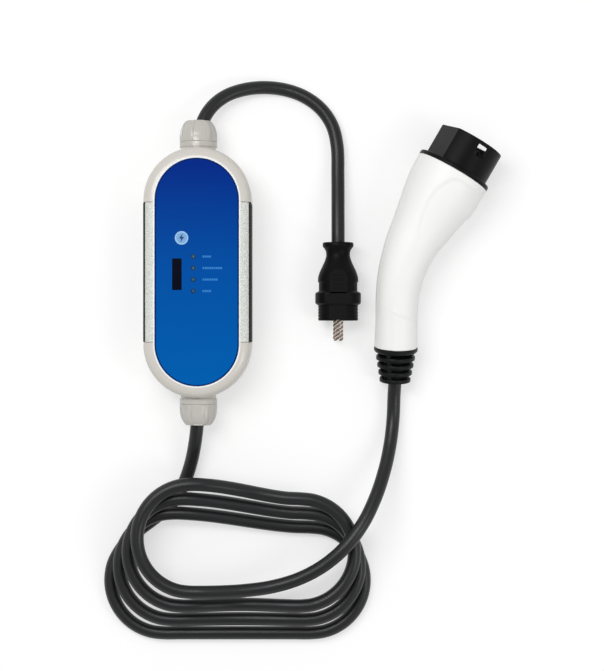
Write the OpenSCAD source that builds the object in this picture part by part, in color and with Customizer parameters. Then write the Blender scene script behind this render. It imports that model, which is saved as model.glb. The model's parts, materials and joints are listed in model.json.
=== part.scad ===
// Portable EV charger lying on the floor: control box on its back, plug and vehicle
// connector on their sides, cable coiled. Millimetres, +Z up, origin at the middle of the
// box's back face, +Y towards the mains gland.

/* [Control box] */
// Width across the straight sides
box_w = 100; // [92:1:112]
// Length over the round ends
box_l = 233; // [220:1:260]
// Thickness, back to front
box_t = 54; // [52:1:62]
// Wall of both housings
wall = 3; // [2.6:0.1:3.4]
// Rounding of the front rim
rim_r = 10; // [9:0.5:10.5]
// Straight skirt of the front housing under its rim
front_skirt = 3; // [2:0.5:4]
// Rounding of the back edge
back_r = 6; // [3:0.5:8]
// Thickness of the rubber side grips
grip_t = 2.6; // [2:0.1:3]
// Length of the side grips and trim strips
trim_l = 129; // [110:1:131]
// Thickness of the trim strips
trim_t = 1.6; // [1:0.1:2]
// Edge of the grips seen outside the trim strips
trim_edge = 2; // [1:0.1:2.4]
// Depth of the gasket groove
gasket_h = 1.2; // [0.8:0.1:1.6]

/* [Front panel] */
// From the box's edge to the panel's edge
panel_inset = 11; // [10.8:0.1:14]
// Depth of the panel's recess
panel_recess = 1.2; // [1:0.1:1.6]
// Thickness of the panel
panel_t = 0.8; // [0.5:0.1:1]
// Display window, across and along
window_w = 8.6; // [7:0.2:11]
window_l = 29; // [24:1:34]
// Middle of the display window
window_x = -18.3; // [-22:0.1:-16]
window_y = -2; // [-6:0.5:4]
// Diameter of a status light
light_d = 3; // [2:0.2:4]
// Row and pitch of the four status lights
light_x = -3.2; // [-6:0.1:2]
light_y = -1.6; // [-5:0.2:3]
light_pitch = 10.6; // [8:0.2:12]

/* [Cable glands] */
// Thread of the gland body
gland_thread_d = 25; // [24:0.5:26]
// Flange of the gland body
gland_flange_d = 35; // [34:0.5:36]
gland_flange_t = 5; // [4:0.5:6]
// Nut, largest diameter over its ribs
nut_d = 35; // [34:0.5:36]
// Nut, diameter of its nose over its ribs
nut_nose_d = 28; // [27:0.5:29]
// Nut, length
nut_l = 20; // [18:0.5:24]
// Nut, height and width of its six ribs
nut_rib_h = 0.9; // [0.6:0.1:1.2]
nut_rib_w = 3.6; // [2.5:0.1:4.5]

/* [Cables] */
// Diameter of both cables
cord_d = 12.5; // [11:0.1:13]
// Gap all round a cable in a bore
cord_gap = 0.15; // [0.1:0.05:0.3]
// Radius of the coil's bends, to the cable's middle
coil_r = 50; // [46:1:54]

/* [Mains plug] */
// Length of the rubber body
plug_l = 73.5; // [70:0.5:80]
// Over the two thumb pads
plug_t = 36; // [35:0.2:38]
// Grip ring, front barrel, cord collar and neck
plug_ring_d = 43; // [41:0.5:45]
plug_face_d = 38; // [37.4:0.2:39]
plug_collar_d = 29; // [26:0.5:31]
plug_neck_d = 22; // [20:0.5:24]
// Thumb pad, across
pad_w = 16.7; // [14:0.1:20]
// Contact pins, diameter, reach and spacing
pin_d = 4.8; // [4.6:0.1:5]
pin_l = 19; // [18:0.5:20]
pin_pitch = 19; // [18:0.5:19.5]
// Turn of the pins about the plug's axis
pin_turn = 13; // [0:1:20]

/* [Vehicle connector] */
// Straight grip, bend and straight nose of the handle's spine
grip_l = 40; // [34:1:46]
bend_r = 130; // [115:1:150]
bend_a = 31; // [26:0.5:34]
nose_l = 66; // [60:1:72]
// Wall of the handle shells
shell_t = 2.6; // [2.2:0.1:3]
// Head flange
flange_d = 71.8; // [71.8:0.1:74]
flange_t = 4; // [3:0.5:5]
// D-shaped shroud: diameter, flat from the axis, reach and wall
shroud_d = 63; // [62:0.5:64]
shroud_flat = 25; // [24:0.5:27]
shroud_l = 31; // [28:0.5:36]
shroud_t = 3; // [2.4:0.1:3.4]
// Square lock hole
lock_w = 10; // [7:0.5:11]
lock_l = 11; // [8:0.5:12]
// Contact towers from the shroud's edge
tower_back = 9; // [8:0.5:11]
// Contact bores
power_d = 6; // [5.8:0.1:6.2]
signal_d = 3; // [2.8:0.1:3.2]
// Roll of the lying connector about its length
roll_a = 22; // [0:1:26]
// Where the foot of the handle lies
connector_x = 185.2; // [180:0.2:200]
connector_y = -69.3; // [-75:0.1:-60]

/* [Strain relief] */
// Foot flange and its thickness
boot_d = 41; // [40:0.2:42]
boot_flange_t = 5; // [4:0.5:6]
// Length over the rings
boot_l = 34; // [32:0.5:40]
// First and last ring
boot_first_d = 36.6; // [34:0.2:38]
boot_last_d = 29.4; // [27:0.2:32]
// Core
boot_core_d = 23; // [20:0.5:25]
// Ribs that join the rings
boot_rib_w = 5.2; // [4:0.2:7]

/* [Hidden] */
$fn = 72;
eps = 0.01;
gap = 0.2;
split_z = box_t - rim_r - front_skirt;
straight = box_l - box_w;
cav_r = box_w / 2 - grip_t - wall;
rim_x = box_w / 2 - rim_r;
rim_z = box_t - rim_r;
panel_z = box_t - panel_recess;
front_in = panel_z - wall;
panel_r = box_w / 2 - panel_inset;
boss_r = 16.5;
boss_in = 13;
boss_out = 1;
gland_z = split_z - boss_r - 0.5;
cord_r = cord_d / 2;
bore_r = cord_r + cord_gap;
pillar_r = 4.5;
pillar_x = cav_r - pillar_r - 1.5;
pillar_y = [-straight / 2, 0, straight / 2];
screw_seat = 26;
board_w = 2 * (pillar_x - pillar_r) - 4;
board_l = straight + 17;
board_z = 11;
board_t = 1.6;
board_top = board_z + board_t;
post_x = board_w / 2 - 5;
post_y = board_l / 2 - 6;
wire_y = box_l / 2 - boss_in - 8;
term_y = board_l / 2 - 10;
board_screw_l = 7;
board_screw_r = 1.25;
screw_head_r = 2.8;
fuse_at = [20, 40];
fuse_l = 20;
fuse_r = 3;
absorber_at = [17, 46];
absorber_t = 4;
absorber_r = 7;
capacitor_at = [-14, -40];
capacitor_h = 16;
capacitor_r = 6;
daughter_z = front_in - 3.2;
daughter_x = (window_x + light_x) / 2;
daughter_w = 40;
daughter_l = 48;
plug_x = 131;
plug_y = 29;
plug_z = plug_t / 2;
pad_h = 0.6;
insert_r = plug_face_d / 2 - 2.5;
root_d = pin_d + 0.8;
spine_l = grip_l + bend_r * bend_a * PI / 180 + nose_l;
bend_end = [bend_r * (1 - cos(bend_a)), grip_l + bend_r * sin(bend_a)];
head_at = bend_end + nose_l * [sin(bend_a), cos(bend_a)];
chord_l = norm(head_at);
chord = [head_at[0] / chord_l, head_at[1] / chord_l, 0];
across = [chord[1], -chord[0], 0];
connector_z = boot_d / 2 + 0.5;
tilt_a = asin((flange_d / 2 - connector_z) / chord_l);
shroud_in = shroud_d / 2 - shroud_t;
flat_in = shroud_flat - shroud_t;
tower_top = flange_t + shroud_l - tower_back;
carrier_z = 2;
carrier_t = 7;
// Contact places in the head: across, towards the flat
power_at = [[-17, 0], [0, 0], [17, 0]];
spare_at = [[-8.6, -15.5], [8.6, -15.5]];
signal_at = [[-7.5, 13], [7.5, 13]];
handle_screw_s = [0.2, 0.52, 0.8];
handle_seat = 6;
handle_screw_l = 16;
handle_head_h = 2.4;
// Handle sections: share of the spine, half width, half thickness
handle_form = [
  [0.00, 20.2, 19.8], [0.13, 19.6, 19.6], [0.28, 20.3, 20.2], [0.46, 22.6, 22.2],
  [0.61, 26.0, 25.2], [0.72, 29.8, 28.8], [0.80, 32.6, 31.8], [0.89, 35.2, 34.8],
  [1.00, flange_d / 2, flange_d / 2]
];
coil_a = 120;
coil_x = 36;
coil_front = -340;
coil_y = coil_front + coil_r;
coil_step = [2.2, 14.5];
coil_slim = 7.2;
layer_h = cord_d + 0.25;
last_y = coil_front + 3 * coil_step[1];
last_z = 3 * layer_h + cord_r + 0.2;
last_x = -5;

// Cable routes: chosen points, the ends tied to what they enter
mains_route = [
  [0, wire_y, gland_z], [0, box_l / 2 - 9, gland_z], [0, box_l / 2 + 3, gland_z],
  [0, box_l / 2 + 6, gland_z], [3, box_l / 2 + 23, gland_z - 0.6], [11.3, 155, 20.2],
  [24.8, 166.8, 16], [42.5, 173.6, 12], [62, 176, 8.3], [81.5, 174, cord_r],
  [99.5, 167.5, cord_r], [115, 156, cord_r], [125.5, 140.5, cord_r], [130.3, 121, 6.8],
  [131, 92, 9.5], [131, 60, 15.2], [plug_x, plug_y + 8, plug_z], [plug_x, plug_y - 2, plug_z],
  [plug_x, plug_y - 12, plug_z]
];
box_end_route = [
  [0, -wire_y, gland_z], [0, 9 - box_l / 2, gland_z], [0, -box_l / 2 - 3, gland_z],
  [0, -box_l / 2 - 6, gland_z], [-1, -box_l / 2 - 22, gland_z - 1.6], [-3.5, -159, 18],
  [-8, -179.5, 10.5], [-15, -199, 6.8], [-25, -215.5, cord_r], [-40.5, -230, cord_r],
  [coil_x - coil_a + coil_r / 2, coil_y + coil_r * sqrt(3) / 2, cord_r]
];
connector_end_route = [
  [last_x + 0.1, last_y, last_z], [last_x + 4, last_y, last_z], [last_x + 10, last_y, last_z],
  [20, last_y, 42.8], [43, last_y + 0.9, 39.6], [69, -292.2, 38.4], [94, -284.6, 40.4],
  [117, -272, 43.6], [137, -254.6, 46], [153.5, -233, 43.6], [166, -208.5, 35],
  [175, -183, 23], [180.5, -159, 13.4], [183.2, -136.5, 8.8],
  lay([0, -boot_l - 12, -1.2]), lay([0, -boot_l, 0]), lay([0, -boot_l + 16, 0]), lay([0, 22, 0])
];

// Helpers: frames

// A 2-D half section (x out, y up) swept round the box's stadium plan
module stadium_sweep() {
  for (e = [0, 180])
    rotate([0, 0, e])
      translate([0, straight / 2, 0])
        rotate_extrude(angle = 180)
          children();
  rotate([90, 0, 0])
    translate([0, 0, -straight / 2])
      linear_extrude(straight) {
        children();
        mirror([1, 0, 0]) children();
      }
}

module stadium(w, l) {
  square([w, l - w], center = true);
  for (e = [1, -1])
    translate([0, e * (l - w) / 2])
      circle(w / 2);
}

// z out of the box's end, from the end of its round
module at_gland(e) {
  translate([0, e * box_l / 2, gland_z])
    rotate([-90 * e, 0, 0])
      children();
}

// z from the cord collar towards the plug's face, y up
module at_plug() {
  translate([plug_x, plug_y, plug_z])
    rotate([90, 0, 0])
      children();
}

function turned(p, k, a) = p * cos(a) + cross(k, p) * sin(a) + k * (k * p) * (1 - cos(a));

// A point of the connector (x right, y along the grip, z out of its side) as it lies
function lay(p) =
  [connector_x, connector_y, connector_z] + turned(turned(p, chord, roll_a), across, tilt_a);

module at_connector() {
  translate([connector_x, connector_y, connector_z])
    rotate(a = tilt_a, v = across)
      rotate(a = roll_a, v = chord)
        children();
}

// z along the head's axis from the flange's back, y towards the flat
module at_head() {
  at_connector()
    translate([head_at[0], head_at[1], 0])
      rotate([0, 0, 90 - bend_a])
        rotate([0, 90, 0])
          translate([0, 0, 0.02])
            children();
}

// z out of the foot of the handle
module at_boot() {
  at_connector()
    rotate([90, 0, 0])
      children();
}

// Helpers: swept and lofted solids

// Midpoint of a smooth curve between b and c
function mid(a, b, c, d) = (9 * (b + c) - a - d) / 16;

function smooth(p) = [
  for (i = [0 : len(p) - 1], h = [0, 1])
    if (h == 0 || i < len(p) - 1)
      h == 0 ? p[i] : mid(p[max(i - 1, 0)], p[i], p[i + 1], p[min(i + 2, len(p) - 1)])
];

function unit(v) = v / norm(v);

function heading(p, i) = unit(p[min(i + 1, len(p) - 1)] - p[max(i - 1, 0)]);

function ring(c, t, r, n) =
  let (u = unit(cross(t, [0, 0, 1])), v = cross(u, t))
  [for (j = [0 : n - 1]) c + r * (cos(360 * j / n) * u + sin(360 * j / n) * v)];

function sides(m, n) = [
  for (i = [0 : m - 2], j = [0 : n - 1], h = [0, 1])
    let (k = (j + 1) % n)
    h == 0 ? [i * n + j, i * n + k, (i + 1) * n + k]
           : [i * n + j, (i + 1) * n + k, (i + 1) * n + j]
];

module tube(route, r, n = 10) {
  p = smooth(route);
  m = len(p);
  polyhedron(
    points = [for (i = [0 : m - 1]) each ring(p[i], heading(p, i), r, n)],
    faces = concat(
      sides(m, n),
      [[for (j = [n - 1 : -1 : 0]) j]],
      [[for (j = [0 : n - 1]) (m - 1) * n + j]]
    )
  );
}

// Spine of the handle at a share of its length: place and turn
function spine(f) =
  let (s = f * spine_l, b = bend_r * bend_a * PI / 180)
  s < grip_l ? [0, s, 0]
  : s < grip_l + b ?
    let (a = (s - grip_l) / bend_r * 180 / PI)
    [bend_r * (1 - cos(a)), grip_l + bend_r * sin(a), a]
  : let (e = s - grip_l - b)
    [bend_end[0] + e * sin(bend_a), bend_end[1] + e * cos(bend_a), bend_a];

function eased(t) = t * t * (3 - 2 * t);

function form(f, c, i = 0) =
  i >= len(handle_form) - 2 || f <= handle_form[i + 1][0] ?
    let (a = handle_form[i], b = handle_form[i + 1])
    a[c] + (b[c] - a[c]) * (f - a[0]) / (b[0] - a[0])
  : form(f, c, i + 1);

function half_ring(f, inset, n) =
  let (s = spine(f), w = form(f, 1) - inset, h = form(f, 2) - inset)
  [for (j = [0 : n])
    let (a = 180 * j / n)
    [s[0] + w * cos(a) * cos(s[2]), s[1] - w * cos(a) * sin(s[2]), h * sin(a)]];

// One shell of the handle, on the +z side of its symmetry plane
module half_shell(m = 30, n = 16) {
  rows = [for (i = [0 : m - 1])
    let (f = i / (m - 1), o = half_ring(f, 0, n), q = half_ring(f, shell_t, n))
    concat(o, [for (j = [n : -1 : 0]) q[j]])];
  k = 2 * (n + 1);
  polyhedron(
    points = [for (r = rows) each r],
    faces = concat(
      sides(m, k),
      [for (j = [0 : n - 1]) [j + 1, j, k - 1 - j, k - 2 - j]],
      [for (j = [0 : n - 1]) [for (v = [j, j + 1, k - 2 - j, k - 1 - j]) (m - 1) * k + v]]
    )
  );
}

// Control box

module rear_outline() {
  translate([0, back_r])
    square([box_w / 2, split_z - back_r]);
  square([box_w / 2 - back_r, split_z]);
  translate([box_w / 2 - back_r, back_r])
    circle(back_r);
}

module rim_quarter(r) {
  translate([rim_x, rim_z])
    intersection() {
      circle(r);
      square(r + 1);
    }
}

module front_outline() {
  translate([0, split_z])
    square([box_w / 2, front_skirt]);
  translate([0, split_z])
    square([rim_x, box_t - split_z]);
  rim_quarter(rim_r);
}

module pillars() {
  for (x = [-pillar_x, pillar_x], y = pillar_y)
    translate([x, y, 0])
      children();
}

module posts() {
  for (x = [-post_x, post_x], y = [-post_y, post_y])
    translate([x, y, 0])
      children();
}

// Side grip seen along the box, with room r round it
module grip_outline(r) {
  translate([box_w / 2 - grip_t - r, back_r + 2 - r])
    square([grip_t + 0.2 + r * 5, rim_z - back_r - 2 + r]);
  intersection() {
    translate([box_w / 2 - trim_edge - r, rim_z - eps])
      square([trim_edge + 0.2 + r * 5, rim_r]);
    rim_quarter(rim_r + 0.2 + r * 5);
  }
}

module side(e, length) {
  mirror([e < 0 ? 1 : 0, 0, 0])
    rotate([90, 0, 0])
      translate([0, 0, -length / 2])
        linear_extrude(length)
          children();
}

module rear_housing() {
  color([0.78, 0.77, 0.75])
    difference() {
      union() {
        difference() {
          stadium_sweep() rear_outline();
          stadium_sweep()
            translate([0, wall])
              square([cav_r, split_z]);
        }
        for (e = [1, -1])
          at_gland(e)
            translate([0, 0, -boss_in])
              cylinder(h = boss_in + boss_out, r = boss_r);
        pillars() cylinder(h = split_z, r = pillar_r);
        posts() cylinder(h = board_z, r = 3.5);
      }
      for (e = [1, -1])
        at_gland(e)
          translate([0, 0, -boss_in - 1])
            cylinder(h = boss_in + boss_out + 2, r = gland_thread_d / 2 + 0.1);
      pillars() {
        translate([0, 0, -1])
          cylinder(h = screw_seat + 1, r = 3.2);
        cylinder(h = split_z + 1, r = 1.7);
      }
      posts()
        translate([0, 0, 5])
          cylinder(h = board_z, r = 1.3);
      for (e = [1, -1])
        side(e, trim_l + 2 * gap) grip_outline(gap / 2);
      gasket_band();
    }
}

module gasket_band() {
  stadium_sweep()
    translate([cav_r + 0.8, split_z - gasket_h])
      square([wall - 1.6, gasket_h]);
}

module housing_gasket() {
  color([0.12, 0.12, 0.12])
    gasket_band();
}

module front_housing() {
  color([0.8, 0.79, 0.77])
    difference() {
      union() {
        difference() {
          stadium_sweep() front_outline();
          stadium_sweep()
            translate([0, split_z - 1])
              square([cav_r, front_in - split_z + 1]);
        }
        pillars()
          translate([0, 0, split_z])
            cylinder(h = front_in - split_z + 1, r = pillar_r);
        daughter_posts()
          translate([0, 0, daughter_z])
            cylinder(h = front_in - daughter_z + 1, r = 2);
      }
      translate([0, 0, panel_z])
        linear_extrude(panel_recess + 1)
          stadium(2 * panel_r, 2 * panel_r + straight);
      pillars()
        translate([0, 0, split_z - 1])
          cylinder(h = front_in - split_z, r = 1.55);
      translate([window_x, window_y, box_t / 2 + front_in / 2])
        cube([window_w + 2 * gap, window_l + 2 * gap, box_t - front_in + 4], center = true);
      lights()
        translate([0, 0, front_in - 1])
          cylinder(h = wall + 2, d = light_d + gap);
      for (e = [1, -1]) {
        side(e, trim_l + 2 * gap) grip_outline(gap / 2);
        side(e, trim_l + 2 * gap)
          difference() {
            intersection() {
              rim_quarter(rim_r + 1);
              translate([rim_x + 0.2, rim_z])
                square(rim_r + 1);
            }
            rim_quarter(rim_r - trim_t - 0.1);
          }
      }
    }
}

module lights() {
  for (i = [-1.5 : 1.5])
    translate([light_x, light_y + i * light_pitch, 0])
      children();
}

module front_panel() {
  color([0.02, 0.28, 0.6])
    difference() {
      translate([0, 0, panel_z])
        linear_extrude(panel_t)
          stadium(2 * panel_r - 2 * gap, 2 * panel_r - 2 * gap + straight);
      translate([window_x, window_y, panel_z])
        cube([window_w + gap, window_l + gap, 4], center = true);
      lights()
        translate([0, 0, panel_z - 1])
          cylinder(h = 3, d = light_d + gap);
    }
}

module display_window() {
  color([0.03, 0.04, 0.1])
    translate([window_x, window_y, (front_in + panel_z + panel_t) / 2])
      cube([window_w, window_l, panel_z + panel_t - front_in - 0.1], center = true);
}

module status_lights() {
  color([0.2, 0.55, 0.6])
    lights()
      translate([0, 0, daughter_z]) {
        cylinder(h = panel_z + panel_t - daughter_z - 0.3, d = light_d);
        translate([0, 0, panel_z + panel_t - daughter_z - 0.3])
          cylinder(h = 0.5, d1 = light_d, d2 = light_d - 1);
      }
}

module trim_strip(e) {
  color([0.92, 0.92, 0.89])
    side(e, trim_l)
      difference() {
        intersection() {
          rim_quarter(rim_r);
          translate([rim_x + 0.3, rim_z])
            square([rim_r - trim_edge - 0.4, rim_r + 1]);
        }
        rim_quarter(rim_r - trim_t);
      }
}

module left_trim_strip() {
  trim_strip(-1);
}

module right_trim_strip() {
  trim_strip(1);
}

module side_grip(e) {
  color([0.1, 0.1, 0.1])
    side(e, trim_l) grip_outline(0);
}

module left_side_grip() {
  side_grip(-1);
}

module right_side_grip() {
  side_grip(1);
}

module housing_screws() {
  color([0.6, 0.6, 0.62])
    pillars() {
      difference() {
        translate([0, 0, screw_seat - 2.4])
          cylinder(h = 2.4, r = 2.8);
        translate([0, 0, screw_seat - 3])
          cylinder(h = 2, r = 1.5, $fn = 6);
      }
      translate([0, 0, screw_seat - eps])
        cylinder(h = front_in - screw_seat - 4, r = 1.5);
    }
}

// What the box holds

module main_board() {
  color([0.05, 0.35, 0.2])
    difference() {
      translate([0, 0, board_z + board_t / 2])
        cube([board_w, board_l, board_t], center = true);
      posts()
        translate([0, 0, board_z - 1])
          cylinder(h = 4, r = 1.7);
    }
}

module board_screws() {
  color([0.6, 0.6, 0.62])
    posts() {
      translate([0, 0, board_top])
        cylinder(h = 2, r = screw_head_r);
      translate([0, 0, board_top - board_screw_l])
        cylinder(h = board_screw_l + eps, r = board_screw_r);
    }
}

module daughter_posts() {
  for (x = [-1, 1], y = [-1, 1])
    translate([daughter_x + x * (daughter_w / 2 - 3), window_y + y * (daughter_l / 2 - 4), 0])
      children();
}

module display_board() {
  color([0.05, 0.3, 0.25])
    translate([daughter_x, window_y, daughter_z - board_t / 2])
      cube([daughter_w, daughter_l, board_t], center = true);
}

module display_module() {
  color([0.1, 0.1, 0.12])
    translate([window_x, window_y, daughter_z + 1.4])
      cube([window_w + 2, window_l + 3, 2.8], center = true);
}

module on_board(x, y, w, l, h) {
  translate([x - w / 2, y - l / 2, board_top])
    cube([w, l, h]);
}

module power_relays() {
  color([0.12, 0.12, 0.13])
    for (x = [-18, 0])
      on_board(x, 30, 16, 30, 21);
}

module leakage_sensor() {
  color([0.15, 0.3, 0.2])
    translate([13, -34, board_top])
      rotate_extrude()
        translate([6.5, 0])
          square([6, 12]);
}

module supply_module() {
  color([0.1, 0.1, 0.1])
    on_board(-13, -12, 26, 34, 17);
}

module control_chips() {
  color([0.08, 0.08, 0.08]) {
    on_board(12, -8, 12, 12, 1.4);
    on_board(18, 6, 6, 5, 1.4);
  }
}

module line_fuse() {
  color([0.75, 0.72, 0.6])
    translate([fuse_at[0], fuse_at[1], board_top + fuse_r])
      rotate([90, 0, 0])
        cylinder(h = fuse_l, r = fuse_r);
}

module surge_absorber() {
  color([0.1, 0.2, 0.55])
    translate([absorber_at[0], absorber_at[1], board_top + absorber_r])
      rotate([90, 0, 0])
        cylinder(h = absorber_t, r = absorber_r);
}

module capacitor() {
  color([0.1, 0.12, 0.3])
    translate([capacitor_at[0], capacitor_at[1], board_top])
      cylinder(h = capacitor_h, r = capacitor_r);
}

module mains_terminals() {
  color([0.1, 0.4, 0.2])
    on_board(0, term_y - 4, 26, 12, 16);
}

module vehicle_terminals() {
  color([0.1, 0.4, 0.2])
    on_board(0, 4 - term_y, 30, 12, 16);
}

module cores(e, places) {
  for (q = places)
    translate([q[0], e * wire_y, gland_z + q[1]])
      rotate([90 * e, 0, 0])
        cylinder(h = wire_y - term_y - 2, r = 1.5);
}

module mains_cores() {
  color([0.3, 0.2, 0.12])
    cores(1, [[-3.4, -1.6], [0, 3.2], [3.4, -1.6]]);
}

module vehicle_cores() {
  color([0.15, 0.2, 0.5])
    cores(-1, [[-3.4, -2.2], [3.4, -2.2], [-3.4, 2.2], [3.4, 2.2]]);
}

// Cable glands: z = 0 at the end of the box

seal_z = -3;
seal_l = 6;
seal_r = bore_r + 3;
nut_z = boss_out + gland_flange_t;
thread_l = 8;

module gland_body(e) {
  color([0.72, 0.72, 0.7])
    at_gland(e)
      difference() {
        union() {
          translate([0, 0, boss_out])
            cylinder(h = gland_flange_t, d = gland_flange_d);
          translate([0, 0, -boss_in - 6])
            cylinder(h = boss_in + 6 + boss_out + eps, d = gland_thread_d);
          translate([0, 0, nut_z - eps])
            cylinder(h = thread_l, d = gland_thread_d + 0.6);
        }
        translate([0, 0, -boss_in - 7])
          cylinder(h = boss_in + 7, r = bore_r);
        translate([0, 0, seal_z])
          cylinder(h = seal_l + gap, r = seal_r);
        translate([0, 0, seal_z + seal_l])
          cylinder(h = nut_z + thread_l, r = seal_r);
      }
}

module gland_seal(e) {
  color([0.1, 0.1, 0.1])
    at_gland(e)
      translate([0, 0, seal_z])
        difference() {
          cylinder(h = seal_l, r = seal_r - 0.05);
          translate([0, 0, -1])
            cylinder(h = seal_l + 2, r = cord_r + 0.05);
        }
}

// Half section of the nut, out to radius inset inside its ribs
module nut_outline(inset) {
  a = nut_d / 2 - inset;
  b = nut_nose_d / 2 - inset;
  polygon(concat(
    [[0, 0], [a - 1, 0], [a, 1.2], [a, nut_l * 0.3]],
    [for (i = [1 : 8]) [b + (a - b) * cos(90 * i / 8), nut_l * (0.3 + 0.62 * sin(90 * i / 8))]],
    [[b, nut_l * 0.95], [b - 1, nut_l], [0, nut_l]]
  ));
}

module gland_nut(e, turn) {
  mouth = nut_nose_d / 2 - nut_rib_h - 1.8;
  color([0.75, 0.75, 0.72])
    at_gland(e)
      translate([0, 0, nut_z])
        difference() {
          union() {
            rotate_extrude() nut_outline(nut_rib_h);
            intersection() {
              rotate_extrude() nut_outline(0);
              for (i = [0 : 2])
                rotate([0, 0, 60 * i + turn])
                  translate([-nut_d, -nut_rib_w / 2, 0])
                    cube([2 * nut_d, nut_rib_w, nut_l]);
            }
          }
          translate([0, 0, -1])
            cylinder(h = thread_l + 1.2, d = gland_thread_d + 0.8);
          translate([0, 0, thread_l])
            cylinder(h = nut_l - thread_l + 1, r1 = seal_r, r2 = mouth + 0.2);
        }
}

module gland_locknut(e) {
  color([0.7, 0.7, 0.68])
    at_gland(e)
      translate([0, 0, -boss_in - 5])
        difference() {
          cylinder(h = 5, r = 16.5, $fn = 6);
          translate([0, 0, -1])
            cylinder(h = 7, d = gland_thread_d + 0.1);
        }
}

module mains_gland_body() {
  gland_body(1);
}

module mains_gland_seal() {
  gland_seal(1);
}

module mains_gland_nut() {
  gland_nut(1, 8);
}

module mains_gland_locknut() {
  gland_locknut(1);
}

module vehicle_gland_body() {
  gland_body(-1);
}

module vehicle_gland_seal() {
  gland_seal(-1);
}

module vehicle_gland_nut() {
  gland_nut(-1, 0);
}

module vehicle_gland_locknut() {
  gland_locknut(-1);
}

// Cables

module mains_cord() {
  color([0.15, 0.16, 0.17])
    tube(mains_route, cord_r);
}

// One turn of the coil: its plan, w wide, for turn k
module turn_plan(k, w) {
  a = coil_a - coil_slim * k;
  translate([coil_x + coil_step[0] * k, coil_y + coil_step[1] * k])
    rotate(90)
      difference() {
        stadium(2 * coil_r + w, 2 * a + w);
        stadium(2 * coil_r - w, 2 * a - w);
      }
}

module vehicle_coil() {
  color([0.15, 0.16, 0.17]) {
    for (k = [0 : 2])
      translate([0, 0, k * layer_h])
        linear_extrude(layer_h)
          turn_plan(k, cord_d);
    translate([0, 0, 3 * layer_h])
      intersection() {
        linear_extrude(cord_d)
          turn_plan(3, cord_d);
        translate([coil_x - 2 * coil_a, coil_y - coil_a, -1])
          cube([last_x - coil_x + 2 * coil_a, 3 * coil_a, cord_d + 2]);
      }
  }
}

module vehicle_cord_box_end() {
  color([0.15, 0.16, 0.17])
    difference() {
      tube(box_end_route, cord_r);
      translate([coil_x, coil_y, -1])
        linear_extrude(cord_d + 2)
          rotate(90)
            stadium(2 * coil_r + cord_d + 0.2, 2 * coil_a + cord_d + 0.2);
    }
}

module vehicle_cord_connector_end() {
  color([0.15, 0.16, 0.17])
    tube(connector_end_route, cord_r);
}

// Mains plug: z from the cord collar to the face

module plug_outline() {
  c = plug_collar_d / 2;
  n = plug_neck_d / 2;
  f = plug_face_d / 2;
  l = plug_l;
  polygon(concat(
    [[0, 0], [c - 1, 0], [c, 1], [c, 0.05 * l], [c - 1, 0.07 * l], [n + 0.6, 0.1 * l]],
    [for (i = [0 : 10])
      [n + (f - n) * eased(i / 10), (0.14 + 0.034 * i) * l]],
    [[f, 0.5 * l], [f - 0.9, 0.52 * l], [f - 0.9, 0.62 * l],
     [plug_ring_d / 2 - 1.2, 0.635 * l], [plug_ring_d / 2, 0.66 * l],
     [plug_ring_d / 2, 0.77 * l], [plug_ring_d / 2 - 1.2, 0.79 * l],
     [f - 0.2, 0.81 * l], [f, l - 1], [f - 1, l], [0, l]]
  ));
}

module pins_at() {
  for (e = [1, -1])
    rotate([0, 0, -pin_turn])
      translate([0, e * pin_pitch / 2, 0])
        children();
}

module plug_body() {
  color([0.1, 0.1, 0.1])
    at_plug()
      difference() {
        union() {
          intersection() {
            rotate_extrude() plug_outline();
            translate([-plug_ring_d, -plug_t / 2 + pad_h, -1])
              cube([2 * plug_ring_d, plug_t - 2 * pad_h, plug_l + 2]);
          }
          rotate([90, 0, 0])
            translate([0, 0, -plug_t / 2])
              linear_extrude(plug_t) {
                translate([-pad_w / 2, 0.46 * plug_l])
                  square([pad_w, 0.25 * plug_l]);
                translate([0, 0.46 * plug_l])
                  circle(d = pad_w);
              }
        }
        translate([0, 0, plug_l - 3])
          cylinder(h = 4, r = insert_r + 0.1);
        translate([0, 0, -1])
          cylinder(h = 22, r = bore_r);
        pins_at()
          translate([0, 0, plug_l - 9])
            cylinder(h = 10, d = root_d + 0.1);
        for (e = [1, -1])
          translate([e * plug_face_d / 2, 0, plug_l - 7])
            cube([3.4, 5.4, 16], center = true);
        for (e = [1, -1])
          translate([0, e * plug_t / 2, plug_l])
            cube([4, 6, 3], center = true);
      }
}

module plug_insert() {
  color([0.16, 0.16, 0.16])
    at_plug()
      difference() {
        translate([0, 0, plug_l - 3])
          cylinder(h = 2.5, r = insert_r);
        pins_at()
          translate([0, 0, plug_l - 4])
            cylinder(h = 6, d = root_d + 0.1);
      }
}

module plug_pins() {
  color([0.75, 0.75, 0.76])
    at_plug()
      pins_at() {
        translate([0, 0, plug_l - 9])
          cylinder(h = 8.5, d = root_d);
        translate([0, 0, plug_l - 0.5 - eps])
          cylinder(h = pin_l - 0.7 + eps, d = pin_d);
        translate([0, 0, plug_l + pin_l - 1.2 - eps])
          cylinder(h = 1.2 + eps, d1 = pin_d, d2 = pin_d - 2.2);
      }
}

module plug_earth_clips() {
  color([0.8, 0.78, 0.6])
    at_plug()
      for (e = [1, -1])
        translate([e * (plug_face_d / 2 - 1.1), 0, plug_l - 7.5])
          cube([1, 5, 14], center = true);
}

// Vehicle connector

module handle_near_shell() {
  color([0.94, 0.94, 0.93])
    at_connector()
      difference() {
        union() {
          half_shell();
          for (f = handle_screw_s)
            translate([spine(f)[0], spine(f)[1], 0])
              cylinder(h = form(f, 2) - 1.2, r = 3.4);
        }
        for (f = handle_screw_s)
          translate([spine(f)[0], spine(f)[1], -1])
            cylinder(h = 13, r = 1.55);
      }
}

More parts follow.
